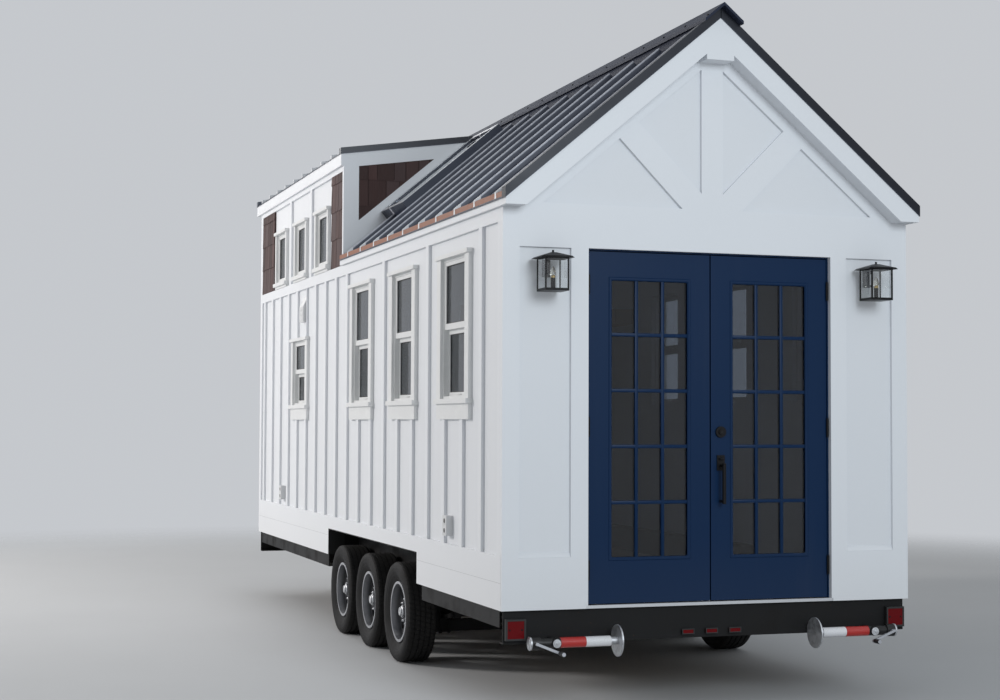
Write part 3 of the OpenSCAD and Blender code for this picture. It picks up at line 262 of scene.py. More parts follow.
def paint_finish(name, colour, emboss=0.0, rough=0.42, soil=0.5, gleam=0.4):
    """Outdoor paint on boards: a little uneven, dusty at the foot, with painted shade in near black on the
    wheel opening's cut edges.
    """
    f = Finish(name, colour, rough, Specular_IOR_Level=gleam)
    cloud = f.noise((1.1, 1.1, 0.7), 4.0)
    streak = f.noise((9.0, 9.0, 0.7), 3.0)
    fine = f.noise((160.0, 160.0, 60.0), 2.0)
    low = 1 - f.fade(f.z, DECK - 0.02, DECK + 0.45)
    dust = (low * soil * (0.15 + cloud * 0.7) + f.fade(streak, 0.55, 0.85) * 0.05).held()
    body = f.tone(colour, 0.965 + cloud * 0.05 + fine * 0.02)
    body = f.mix(dust * 0.3, body, (0.40, 0.37, 0.30))
    # Painted shade: the faces at each end of the wheel opening are painted near black.
    opening_edge_shade = ((abs(f.y - OPENING[0]) < 0.0012) + (abs(f.y - OPENING[1]) < 0.0012)) * (f.z < OPENING_TOP)
    f.set("Base Color", f.mix(opening_edge_shade, body, (0.012, 0.012, 0.012)))
    f.set("Roughness", (rough - 0.06 + fine * 0.1 + dust * 0.3).held())
    lift = f.bump(fine, 0.0004, 0.35)
    if emboss:
        grain = f.noise((95.0, 95.0, 2.6), 5.0) + f.noise((28.0, 28.0, 1.1), 3.0) * 0.8
        lift = f.bump(grain, 0.0016, emboss, lift)
    f.set("Normal", lift)
    return f.material


def frame_finish(name, colour):
    """Door frame paint, with the bare metal sill at its foot."""
    f = Finish(name, colour, 0.36, Specular_IOR_Level=0.15)
    fine = f.noise((160.0, 160.0, 60.0), 2.0)
    sill = f.z < SILL_TOP
    f.set("Base Color", f.mix(sill, f.tone(colour, 0.95 + fine * 0.1), (0.66, 0.67, 0.69)))
    f.set("Metallic", sill * 0.85)
    f.set("Roughness", 0.34 + fine * 0.06)
    f.set("Normal", f.bump(fine, 0.0004, 0.35))
    return f.material


def roof_finish(name, colour, ridge, pitch, first, pitch_y, edge_y):
    """Dark coated steel: painted highlights that pale the ribs towards their crests, painted highlights on
    the rib ends at the eave, faint waves.
    """
    f = Finish(name, colour, 0.38, 0.15, Specular_IOR_Level=0.35)
    reach = abs(f.x)
    height = (f.z - (ridge - reach * math.tan(pitch))) * math.cos(pitch)
    edge = f.y < edge_y
    along = abs((f.y - first + pitch_y / 2) % pitch_y - pitch_y / 2)
    rib = (along < RIB_BAND) * (height > 0.009) * (1 - edge)
    # Painted highlight: a speckled bright line along each rib's crest.
    highlight_fleck = f.noise((45.0, 3.0, 45.0), 3.0)
    crest_highlight = rib * f.fade(height, 0.027, 0.034) * (0.45 + highlight_fleck)
    dust = f.fade(f.noise((2.2, 2.2, 5.0), 5.0), 0.45, 0.8)
    body = f.mix(dust * 0.08, colour, (0.16, 0.17, 0.20))
    # Painted highlight: the ribs' sides grow paler towards their crests.
    body = f.mix(rib * f.fade(height, 0.012, 0.026) * 0.25, body, (0.12, 0.125, 0.155))
    body = f.mix(crest_highlight.held(), body, (0.46, 0.47, 0.52))
    body = f.mix(edge * (height > 0.003), body, [c * 0.35 for c in colour])
    # Painted highlight: the rib ends at the eave are painted bright silver.
    tip = rib * (reach > 1.256)
    f.set("Base Color", f.mix(tip, body, (0.72, 0.73, 0.75)))
    f.set("Roughness", 0.30 + dust * 0.15 + tip * 0.15)
    wave = f.noise((0.9, 3.2, 0.9), 2.0)
    beads = f.fade(abs((f.y + 0.025) % 0.1313 - 0.0657), 0.0, 0.010)
    f.set("Normal", f.bump(beads, 0.003, 0.4, f.bump(wave, 0.02, 0.3)))
    return f.material


def cap_finish(name, colour):
    """The ridge cap's steel: the same dark coat, with faint oil canning."""
    f = Finish(name, colour, 0.5, 0.0, Specular_IOR_Level=0.08)
    wave = f.noise((4.0, 0.8, 4.0), 3.0)
    dust = f.fade(f.noise((5.0, 2.0, 5.0), 4.0), 0.5, 0.8)
    f.set("Base Color", f.mix(dust * 0.08, colour, (0.16, 0.16, 0.17)))
    f.set("Roughness", 0.48 + dust * 0.2)
    f.set("Normal", f.bump(wave, 0.012, 0.4))
    return f.material


def shake_finish(name, colour):
    """Split cedar: grain down each shake, and a tone of its own that makes some shakes much darker."""
    f = Finish(name, colour, 0.8)
    own = f.node("ShaderNodeAttribute", {"attribute_name": "tone"}, {}, "Fac")
    grain = f.noise((70.0, 70.0, 3.5), 6.0)
    broad = f.noise((9.0, 9.0, 2.0), 3.0)
    body = f.mix(broad, [c * 1.3 for c in colour], [c * 0.6 for c in colour])
    body = f.mix(f.fade(own, 0.55, 1.0) * 0.45, body, (0.040, 0.034, 0.036))
    f.set("Base Color", f.tone(body, 0.55 + own * 0.75 + grain * 0.25))
    f.set("Roughness", 0.68 + grain * 0.25)
    f.set("Normal", f.bump(grain + broad * 0.5, 0.0022, 0.7))
    return f.material


def steel_finish(name, colour, rough=0.45, metal=0.2, rust=0.25):
    """Painted trailer steel: orange peel, road dust and a few rust freckles."""
    f = Finish(name, colour, rough, metal, Specular_IOR_Level=0.22)
    peel = f.noise((220.0, 220.0, 220.0), 2.0)
    dust = f.fade(f.noise((4.0, 4.0, 4.0), 5.0), 0.45, 0.75)
    speck = f.fade(f.noise((55.0, 55.0, 55.0), 4.0), 0.66, 0.74)
    speck = speck * f.fade(f.noise((3.0, 3.0, 3.0), 2.0), 0.5, 0.65)
    body = f.mix(dust * 0.06, colour, (0.10, 0.09, 0.08))
    f.set("Base Color", f.mix(speck * rust, body, (0.17, 0.06, 0.02)))
    f.set("Roughness", (rough - 0.05 + dust * 0.3 + peel * 0.06).held())
    f.set("Normal", f.bump(peel, 0.0004, 0.5))
    return f.material


def zinc_finish(name, colour):
    """Zinc plate with its patchy crystals."""
    f = Finish(name, colour, 0.42, 0.9)
    spangle = f.cells((60.0, 60.0, 60.0), out="Color")
    grey = f.node("ShaderNodeRGBToBW", {}, {0: spangle})
    f.set("Base Color", f.tone(colour, 0.75 + grey * 0.4))
    f.set("Roughness", 0.34 + grey * 0.22)
    return f.material


def rim_finish(name, colour):
    """Silver wheel paint, with painted shade that darkens the dish and painted light that brightens the lip,
    and with road grime.
    """
    f = Finish(name, colour, 0.33, 0.75)
    lip = f.fade(abs(f.x), WHEEL_X + 0.024, WHEEL_X + 0.070)
    peel = f.noise((260.0, 260.0, 260.0), 2.0)
    grime = f.fade(f.noise((12.0, 12.0, 12.0), 5.0), 0.42, 0.8)
    # Painted shade and light: the deep dish is painted dark and the outer lip bright.
    body = f.mix(lip, [c * 0.24 for c in colour], [c * 1.0 for c in colour])
    f.set("Base Color", f.mix(grime * 0.4, body, (0.10, 0.09, 0.08)))
    f.set("Roughness", 0.28 + grime * 0.35 + peel * 0.05)
    f.set("Metallic", 0.8 - grime * 0.4)
    f.set("Normal", f.bump(peel, 0.0003, 0.4))
    return f.material


def tyre_finish(name, centre_y):
    """Rubber: cross cuts in the tread, rings on the side wall, dust from the road."""
    f = Finish(name, (0.022, 0.022, 0.023), 0.78, Specular_IOR_Level=0.25)
    dy = f.y - centre_y
    dz = f.z - TYRE_R
    reach = f.node("ShaderNodeMath", {"operation": "SQRT"}, {0: dy * dy + dz * dz})
    turn = f.node("ShaderNodeMath", {"operation": "ARCTAN2"}, {0: dz, 1: dy})
    tread = f.fade(reach, TYRE_R - 0.010, TYRE_R - 0.004)
    skew = turn * (64 / math.tau) + abs(f.x) * 9.0
    cuts = f.fade(abs(skew % 1.0 - 0.5), 0.0, 0.10)
    rings = f.fade(abs((reach % 0.022) - 0.011), 0.0, 0.0035)
    fins = f.fade(abs((turn * (180 / math.tau)) % 1.0 - 0.5), 0.0, 0.25)
    band = f.fade(reach, 0.285, 0.290) * (1 - f.fade(reach, 0.305, 0.310))
    grain = f.noise((190.0, 190.0, 190.0), 3.0)
    dust = f.fade(f.noise((6.0, 6.0, 6.0), 5.0), 0.35, 0.8)
    f.set("Base Color", f.mix(dust * 0.07 + tread * 0.08, (0.011, 0.011, 0.012), (0.09, 0.083, 0.07)))
    f.set("Roughness", 0.7 + dust * 0.2)
    side = f.bump(rings * (1 - tread) + fins * band * 0.8 + grain * 0.1, 0.0016, 0.8)
    f.set("Normal", f.bump(cuts * tread, 0.005, 1.0, side))
    return f.material


def timber_finish(name, colour, plank=0.14):
    """Deck boards that run along the house, each with its own tone."""
    f = Finish(name, colour, 0.6)
    row = f.node("ShaderNodeMath", {"operation": "FLOOR"}, {0: f.x / plank})
    own = f.node("ShaderNodeTexWhiteNoise", {"noise_dimensions": "1D"}, {"W": row})
    grain = f.noise((60.0, 2.2, 60.0), 6.0)
    seam = grooves(f.x, plank, 0.004)
    body = f.tone(colour, 0.7 + own * 0.3 + grain * 0.35)
    f.set("Base Color", f.mix(seam * 0.8, body, (0.05, 0.035, 0.02)))
    f.set("Roughness", 0.45 + grain * 0.3)
    f.set("Normal", f.bump(grain - seam, 0.001, 0.6))
    return f.material


def glass_finish(name, colour, clear_front=False, rough=0.0):
    """Window glass. The lantern panes in front of the house are left clear."""
    f = Finish(name, colour, rough, 0.0, Transmission_Weight=1.0, IOR=1.45)
    film = f.fade(f.noise((3.0, 3.0, 3.0), 4.0), 0.4, 0.9)
    if clear_front:
        f.set("Base Color", f.mix(f.y < FRONT - 0.02, colour, (0.97, 0.98, 0.98)))
    f.set("Roughness", rough + film * 0.02)
    return f.material


def jack_finish(name, colour):
    """Black jack, whose crank in front of the tube is bright zinc."""
    f = Finish(name, colour, 0.45, 0.1)
    peel = f.noise((220.0, 220.0, 220.0), 2.0)
    bright = ((f.y < JACK_SPOT[1] - JACK_BODY_R) * (abs(f.x) > 0.9)).held()
    f.set("Base Color", f.mix(bright, f.tone(colour, 0.8 + peel * 0.4), (0.52, 0.53, 0.56)))
    f.set("Metallic", 0.1 + bright * 0.7)
    f.set("Roughness", 0.40 + peel * 0.06)
    f.set("Normal", f.bump(peel, 0.0004, 0.5))
    return f.material


def lens_finish(name, colour):
    """Moulded light lens: small prisms under a smooth face."""
    f = Finish(name, colour, 0.2, 0.0, Specular_IOR_Level=0.12, Coat_Weight=0.05, Coat_Roughness=0.05)
    prism = abs(f.x % 0.006 - 0.003) + abs(f.z % 0.006 - 0.003)
    f.set("Base Color", f.tone(colour, 0.6 + prism * 110.0))
    f.set("Normal", f.bump(prism, 0.001, 0.5))
    return f.material


def tape_finish(name, colour):
    """Reflective tape with its honeycomb of small cells."""
    f = Finish(name, colour, 0.3, 0.0, Coat_Weight=0.5, Coat_Roughness=0.08)
    comb = f.cells((260.0, 260.0, 260.0), "DISTANCE_TO_EDGE")
    f.set("Base Color", f.tone(colour, 0.8 + f.fade(comb, 0.0, 0.12) * 0.2))
    f.set("Normal", f.bump(f.fade(comb, 0.0, 0.12), 0.0004, 0.5))
    return f.material


def plain_finish(name, colour, rough=0.4, metal=0.0):
    """Moulded plastic or small hardware with a fine texture."""
    f = Finish(name, colour, rough, metal)
    fine = f.noise((320.0, 320.0, 320.0), 2.0)
    wear = f.fade(f.noise((11.0, 11.0, 11.0), 4.0), 0.5, 0.85)
    f.set("Base Color", f.tone(colour, 0.92 + fine * 0.1 + wear * 0.08))
    f.set("Roughness", (rough - 0.05 + wear * 0.15).held())
    f.set("Normal", f.bump(fine, 0.0002, 0.5))
    return f.material


FINISHES = {}


def make_finishes(colours):
    white = tuple(colours.house_white)
    steel = tuple(colours.roof)
    make = {
        "siding_white": lambda n: paint_finish(n, white, 0.55),
        "board_white": lambda n: paint_finish(n, white, 0.08),
        "trim_white": lambda n: paint_finish(n, [c * 1.03 for c in white], 0.05, 0.38),
        "soffit_white": lambda n: paint_finish(n, [c * 0.98 for c in white], 0.1, 0.5, 0.0),
        "roof_steel": lambda n: roof_finish(n, steel, RIDGE, PITCH, FRONT + 0.061, 0.394,
                                            FRONT - RAKE + EDGE_TRIM),
        "dormer_steel": lambda n: roof_finish(n, steel, dormer_deck_z(0), DORMER_PITCH, DORMER_Y + 0.317,
                                              0.366, DORMER_Y - 0.025 + EDGE_TRIM),
        "cap_steel": lambda n: cap_finish(n, steel),
        "cedar": lambda n: shake_finish(n, tuple(colours.cedar)),
        "door_navy": lambda n: paint_finish(n, tuple(colours.door), 0.06, 0.38, 0.1, 0.15),
        "frame_navy": lambda n: frame_finish(n, tuple(colours.door)),
        "window_white": lambda n: plain_finish(n, (0.80, 0.81, 0.81), 0.35),
        "clear_glass": lambda n: glass_finish(n, (0.34, 0.37, 0.41), True),
        "bulb_glass": lambda n: glass_finish(n, (0.98, 0.94, 0.86), False, 0.05),
        "trailer_black": lambda n: steel_finish(n, (0.007, 0.007, 0.0075), 0.55, 0.0),
        "black_iron": lambda n: steel_finish(n, (0.007, 0.007, 0.008), 0.42, 0.3, 0.05),
        "jack_black": lambda n: jack_finish(n, (0.010, 0.010, 0.010)),
        "rim_silver": lambda n: rim_finish(n, (0.50, 0.51, 0.54)),
        "zinc": lambda n: zinc_finish(n, (0.62, 0.63, 0.65)),
        "deck_boards": lambda n: timber_finish(n, (0.42, 0.29, 0.17)),
        # Painted reflection: the eave closure's orange-brown is partly its own colour and partly a painted
        # sunset reflection.
        "closure": lambda n: plain_finish(n, (0.27, 0.105, 0.055), 0.6),
        # Painted shade: the skirt joint's grey stands for the shadow in the groove between two boards.
        "joint_grey": lambda n: plain_finish(n, [c * 0.62 for c in white], 0.6),
        "lens_red": lambda n: lens_finish(n, (0.14, 0.003, 0.005)),
        "tape_red": lambda n: tape_finish(n, (0.50, 0.02, 0.015)),
        "tape_white": lambda n: tape_finish(n, (0.82, 0.82, 0.84)),
        "outlet_grey": lambda n: plain_finish(n, (0.66, 0.67, 0.68), 0.45),
        "gasket": lambda n: plain_finish(n, (0.015, 0.015, 0.015), 0.6),
        "brass": lambda n: plain_finish(n, (0.45, 0.33, 0.14), 0.35, 0.9),
    }
    for name, build in make.items():
        FINISHES[name] = build(name)
    for k, y in enumerate(AXLES, 1):
        FINISHES[f"tyre_{k}"] = tyre_finish(f"tyre_rubber_{k}", y)


NODE_FINISH = {
    "siding_white": ["left_wall", "right_wall", "back_wall", "dormer_walls"],
    "board_white": ["front_wall", "front_gable", "dormer_cheeks"],
    "soffit_white": ["main_roof", "dormer_roof", "ridge_board"],
    "trim_white": ["end_trim", "side_trim", "edge_boards", "skirts", "battens"],
    "roof_steel": ["main_roofing"],
    "dormer_steel": ["dormer_roofing"],
    "cap_steel": ["ridge_cap"],
    "cedar": ["shake_panels"],
    "window_white": ["windows"],
    "clear_glass": ["glazing", "left_door_glass", "right_door_glass"],
    "door_navy": ["left_door", "right_door"],
    "frame_navy": ["door_frame"],
    "black_iron": ["frame_hinges", "left_door_hinges", "right_door_hinges", "door_handles", "lanterns"],
    "trailer_black": ["long_rails", "end_beam", "cross_members", "tongue_bars", "coupler", "tongue_jack",
                      "axles", "springs", "wheel_wells"],
    "jack_black": ["left_jack", "right_jack"],
    "deck_boards": ["floors"],
    "lens_red": ["tail_lights"],
    "outlet_grey": ["wall_fittings"],
    "zinc": ["left_jack_foot", "right_jack_foot"],
}


# ---------------------------------------------------------------- bench tools

def clear():
    bpy.ops.object.select_all(action="DESELECT")


def pick(piece):
    clear()
    piece.select_set(True)
    bpy.context.view_layer.objects.active = piece
    return piece


def settle():
    """Puts a primitive's place, turn and size into its mesh."""
    bpy.ops.object.transform_apply(location=True, rotation=True, scale=True)
    return bpy.context.object


def eased(piece, width, steps=1, angle=30):
    """Rounds the sharp edges."""
    pick(piece)
    bpy.ops.object.modifier_add(type="BEVEL")
    bevel = piece.modifiers[-1]
    bevel.width = width
    bevel.segments = steps
    bevel.limit_method = "ANGLE"
    bevel.angle_limit = math.radians(angle)
    bpy.ops.object.modifier_apply(modifier=bevel.name)
    return piece


def block(low, high):
    """A sharp-edged block between two corners."""
    low, high = Vector(low), Vector(high)
    clear()
    bpy.ops.mesh.primitive_cube_add(size=1, location=(low + high) / 2)
    bpy.context.object.scale = high - low
    return settle()


def board(low, high, ease=0.0015, steps=1):
    """A sawn board between two corners, with eased edges."""
    return eased(block(low, high), ease, steps)


def bar(start, end, radius, sides):
    """A round bar from one point to another, with sharp ends."""
    start, end = Vector(start), Vector(end)
    clear()
    bpy.ops.mesh.primitive_cylinder_add(vertices=sides, radius=radius, depth=(end - start).length,
                                        location=(start + end) / 2,
                                        rotation=(end - start).to_track_quat("Z", "Y").to_euler())
    return settle()


def rod(start, end, radius, ease=0.001, sides=24):
    """A round bar from one point to another, with its ends eased."""
    return eased(bar(start, end, radius, sides), ease, 1, 40)


def edit_faces(piece, wanted):
    """Enters edit mode with only the faces selected that the test wants."""
    pick(piece)
    bpy.ops.object.mode_set(mode="EDIT")
    bpy.ops.mesh.select_mode(type="FACE")
    bpy.ops.mesh.select_all(action="DESELECT")
    bpy.ops.object.mode_set(mode="OBJECT")
    for face in piece.data.polygons:
        face.select = bool(wanted(face))
    bpy.ops.object.mode_set(mode="EDIT")


def leave():
    bpy.ops.object.mode_set(mode="OBJECT")
    return bpy.context.object


def stepped_rod(start, end, radius, step_radius, step_length, ease=0.001, sides=24):
    """A round bar with a shoulder: its end face is inset and drawn out."""
    way = (Vector(end) - Vector(start)).normalized()
    piece = bar(start, end, radius, sides)
    edit_faces(piece, lambda f: f.normal.dot(way) > 0.9)
    bpy.ops.mesh.inset(thickness=radius - step_radius)
    bpy.ops.mesh.extrude_region_move(TRANSFORM_OT_translate={"value": way * step_length})
    leave()
    return eased(piece, ease, 1, 40)


def ring_frame(low, high, band, depth, ease=0.001):
    """A flat picture-frame ring in the x-z plane, between two outer corners. It is drawn out towards -y."""
    (x0, y, z0), (x1, _, z1) = low, high
    clear()
    bpy.ops.mesh.primitive_plane_add(size=1, location=((x0 + x1) / 2, y, (z0 + z1) / 2),
                                     rotation=(math.pi / 2, 0, 0))
    bpy.context.object.scale = (x1 - x0, z1 - z0, 1)
    piece = settle()
    edit_faces(piece, lambda f: True)
    bpy.ops.mesh.inset(thickness=band)
    bpy.ops.mesh.delete(type="FACE")
    bpy.ops.mesh.select_all(action="SELECT")
    bpy.ops.mesh.extrude_region_move(TRANSFORM_OT_translate={"value": (0, -depth, 0)})
    bpy.ops.mesh.select_all(action="SELECT")
    bpy.ops.mesh.normals_make_consistent(inside=False)
    leave()
    return eased(piece, ease)


def twin(piece, matrix):
    """A copy with its own mesh, moved by a matrix."""
    copy = piece.copy()
    copy.data = piece.data.copy()
    copy.data.transform(matrix)
    if matrix.determinant() < 0:
        copy.data.flip_normals()
    bpy.context.scene.collection.objects.link(copy)
    return copy


def joined(parts):
    parts = list(parts)
    clear()
    for part in parts:
        part.select_set(True)
    bpy.context.view_layer.objects.active = parts[0]
    if len(parts) > 1:
        bpy.ops.object.join()
    return bpy.context.view_layer.objects.active


MIRROR = Matrix.Scale(-1, 4, (1, 0, 0))


def both(piece):
    """The piece and its mirror image on the other side of the house."""
    return joined([piece, twin(piece, MIRROR)])


def left_only(piece):
    """The piece's mirror image alone."""
    image = twin(piece, MIRROR)
    bpy.data.objects.remove(piece)
    return image


def top_drawn_in(piece, share, centre):
    """Scales the top face about a centre, so that the sides slope."""
    edit_faces(piece, lambda f: f.normal.z > 0.9)
    bpy.ops.transform.resize(value=share, center_override=centre)
    leave()
    return piece


def painted(piece, finish):
    piece.data.materials.clear()
    piece.data.materials.append(FINISHES[finish])
    return piece


def done(piece, name, body="house", smooth=35):
    """Shades, names and mounts a finished piece."""
    pick(piece)
    bpy.ops.object.shade_smooth_by_angle(angle=math.radians(smooth))
    piece.name = name
    piece.data.name = name
    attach(piece, body)
    return piece


def cut_away(piece, spot, normal):
    """Cuts a piece along a plane and drops what lies on the normal's side."""
    pick(piece)
    bpy.ops.object.mode_set(mode="EDIT")
    bpy.ops.mesh.select_all(action="SELECT")
    bpy.ops.mesh.bisect(plane_co=spot, plane_no=normal, use_fill=True, clear_outer=True)
    bpy.ops.object.mode_set(mode="OBJECT")
    return piece


# ---------------------------------------------------------------- sizes and colours

class TinyHouseSizes(bpy.types.PropertyGroup):
    muntin_w: FloatProperty(name="Muntin width", description="Width of the bars on the door glass",
                            default=0.021, unit="LENGTH")
    door_columns: IntProperty(name="Door columns", description="Columns of panes in a door leaf", default=3)
    door_rows: IntProperty(name="Door rows", description="Rows of panes in a door leaf", default=5)
    stop_w: FloatProperty(name="Glass stop width", description="Width of the moulding round the door glass",
                          default=0.022, unit="LENGTH")
    shake_w: FloatProperty(name="Shake width", description="Usual width of a cedar shake", default=0.115,
                           unit="LENGTH")
    shake_gap: FloatProperty(name="Shake gap", description="Gap between two shakes", default=0.007,
                             unit="LENGTH")
    lug_count: IntProperty(name="Wheel nuts", description="Nuts that hold each wheel", default=8)
    band_len: FloatProperty(name="Jack band length", description="Length of each reflective band on a jack",
                            default=0.148, unit="LENGTH")


class TinyHouseColours(bpy.types.PropertyGroup):
    house_white: FloatVectorProperty(name="House white", description="Paint of the walls and trim",
                                     subtype="COLOR", default=(0.77, 0.79, 0.82))
    door: FloatVectorProperty(name="Doors", description="Paint of the doors and their frame",
                              subtype="COLOR", default=(0.003, 0.021, 0.067))
    roof: FloatVectorProperty(name="Roof", description="Coating of the roof steel", subtype="COLOR",
                              default=(0.026, 0.032, 0.053))
    cedar: FloatVectorProperty(name="Shakes", description="Colour of the cedar shakes", subtype="COLOR",
                               default=(0.066, 0.034, 0.031))


class Step:
    """What the operators share."""

    bl_options = {"REGISTER", "UNDO"}

    @property
    def sizes(self):
        return bpy.context.scene.tiny_house_sizes

    @property
    def colours(self):
        return bpy.context.scene.tiny_house_colours


class TINYHOUSE_OT_finish_cad(Step, bpy.types.Operator):
    """Give every built part its paint, metal, timber or glass"""

    bl_idname = "tinyhouse.finish_cad"
    bl_label = "Finish the built parts"

    def execute(self, context):
        make_finishes(self.colours)
        chosen = {node: FINISHES[f] for f, nodes in NODE_FINISH.items() for node in nodes}
        for side in ("left", "right"):
            for k in (1, 2, 3):
                chosen[f"{side}_tyre_{k}"] = FINISHES[f"tyre_{k}"]
                chosen[f"{side}_rim_{k}"] = FINISHES["rim_silver"]
        missing = set(NODES) - set(chosen)
        if missing:
            raise RuntimeError(f"no finish for {sorted(missing)}")
        for name, node in NODES.items():
            for slot in node.material_slots:
                slot.material = chosen[name]
        return {"FINISHED"}


class TINYHOUSE_OT_door_grilles(Step, bpy.types.Operator):
    """Lay the bars and the glass stops on both faces of the door glass"""

    bl_idname = "tinyhouse.door_grilles"
    bl_label = "Door grilles"

    glass_lap = 0.008
    bar_depth, bar_ease = 0.009, 0.004
    cross_set = 0.0004
    stop_depth, stop_lap, stop_ease = 0.016, 0.010, 0.006

    def execute(self, context):
        s = self.sizes
        half = s.muntin_w / 2
        out = s.stop_w - self.stop_lap
        for side in ("left", "right"):
            low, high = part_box(f"{side}_door_glass")
            x0, x1 = low[0] + self.glass_lap, high[0] - self.glass_lap
            z0, z1 = low[2] + self.glass_lap, high[2] - self.glass_lap
            face, back = low[1], high[1]
            parts = []
            for front in (True, False):
                y0, y1 = (face - self.bar_depth, face) if front else (back, back + self.bar_depth)
                for k in range(1, s.door_columns):
                    x = x0 + (x1 - x0) * k / s.door_columns
                    parts.append(board((x - half, y0, z0), (x + half, y1, z1), self.bar_ease, 2))
                for k in range(1, s.door_rows):
                    z = z0 + (z1 - z0) * k / s.door_rows
                    parts.append(board((x0, y0 + self.cross_set, z - half),
                                       (x1, y1 - self.cross_set, z + half), self.bar_ease, 2))
                y = face if front else back + self.stop_depth
                parts.append(ring_frame((x0 - out, y, z0 - out), (x1 + out, y, z1 + out), s.stop_w,
                                        self.stop_depth, self.stop_ease))
            piece = painted(joined(parts), "door_navy")
            done(piece, f"{side}_door_grille", f"{side}_door")
        return {"FINISHED"}


class TINYHOUSE_OT_shakes(Step, bpy.types.Operator):
    """Nail up the cedar shakes, in courses, on the dormers' sides and cheeks"""

    bl_idname = "tinyhouse.shakes"
    bl_label = "Cedar shakes"

    # Each course is its foot's height and its length up the wall.
    cheek_courses = ((3.045, 0.218), (3.263, 0.202), (3.465, 0.215))
    strip_courses = ((2.800, 0.221), (3.021, 0.216), (3.237, 0.216), (3.453, 0.073))
    strip_foot, strip_top = 2.799, 3.526
    cheek_thick, strip_thick = 0.0068, 0.0095
    panel_t = 0.012
    head_lap = 0.012
    corner_board, valley_board, eave_board = 0.120, 0.195, 0.107

    def split_shake(self):
        """One shake, 1 m wide and 1 m long, thick at its foot: it stands in the x-z plane and faces -y."""
        piece = block((0, -0.5, 0), (1, 0.5, 1))
        edit_faces(piece, lambda f: f.normal.z > 0.9)
        bpy.ops.transform.translate(value=(0, 0.3, 0))
        bpy.ops.transform.resize(value=(1, 0.35, 1))
        leave()
        piece.data.transform(Matrix.Translation((0, -0.5, 0)))
        return piece

    def course(self, shake, span, foot, height, thick, rng):
        """Shakes side by side from span[0] to span[1]."""
        parts = []
        x = span[0] - rng.uniform(0.0, 0.05)
        while x < span[1]:
            w = self.sizes.shake_w * rng.uniform(0.6, 1.35)
            drop = rng.uniform(-0.003, 0.003)
            size = Matrix.Diagonal((w - self.sizes.shake_gap, thick * rng.uniform(0.8, 1.0),
                                    height + self.head_lap, 1))
            part = twin(shake, Matrix.Translation((x, 0, foot + drop)) @ size)
            tone = part.data.attributes.new("tone", "FLOAT", "POINT")
            own = rng.random()
            tone.data.foreach_set("value", [own] * len(part.data.vertices))
            parts.append(part)
            x += w
        return parts

    def cheek(self, shake, rng):
        """The triangle on the dormer's front cheek, trimmed to its boards."""
        edge_x = HALF_W - self.corner_board
        rise = RIDGE + self.valley_board - dormer_deck_z(0) + self.eave_board
        tip = rise / (math.tan(PITCH) - math.tan(DORMER_PITCH))
        parts = []
        for foot, height in self.cheek_courses:
            parts += self.course(shake, (tip - 0.02, edge_x), foot, height, self.cheek_thick, rng)
        piece = joined(parts)
        piece.data.transform(Matrix.Translation((0, DORMER_Y - self.panel_t, 0)))
        cut_away(piece, (tip, 0, deck_z(tip) + self.valley_board), (-math.sin(PITCH), 0, -math.cos(PITCH)))
        cut_away(piece, (edge_x, 0, dormer_deck_z(edge_x) - self.eave_board),
                 (math.sin(DORMER_PITCH), 0, math.cos(DORMER_PITCH)))
        return cut_away(piece, (edge_x, 0, 0), (1, 0, 0))

    def strip(self, shake, span, rng):
        """One upright strip on the dormer's side wall."""
        parts = []
        for foot, height in self.strip_courses:
            parts += self.course(shake, span, foot, height, self.strip_thick, rng)
        piece = joined(parts)
        for spot, way in (((span[0], 0, 0), (-1, 0, 0)), ((span[1], 0, 0), (1, 0, 0)),
                          ((0, 0, self.strip_top), (0, 0, 1)), ((0, 0, self.strip_foot), (0, 0, -1))):
            cut_away(piece, spot, way)
        turn = Matrix.Rotation(math.pi / 2, 4, "Z")
        piece.data.transform(Matrix.Translation((SHELL_X + self.panel_t, FRONT, 0)) @ turn)
        return piece

    def execute(self, context):
        rng = random.Random(11)
        shake = self.split_shake()
        wall = [self.cheek(shake, rng)]
        wall += [self.strip(shake, span, rng) for span in SHAKE_STRIPS]
        bpy.data.objects.remove(shake)
        piece = painted(both(joined(wall)), "cedar")
        done(piece, "cedar_shakes", "house", 25)
        return {"FINISHED"}


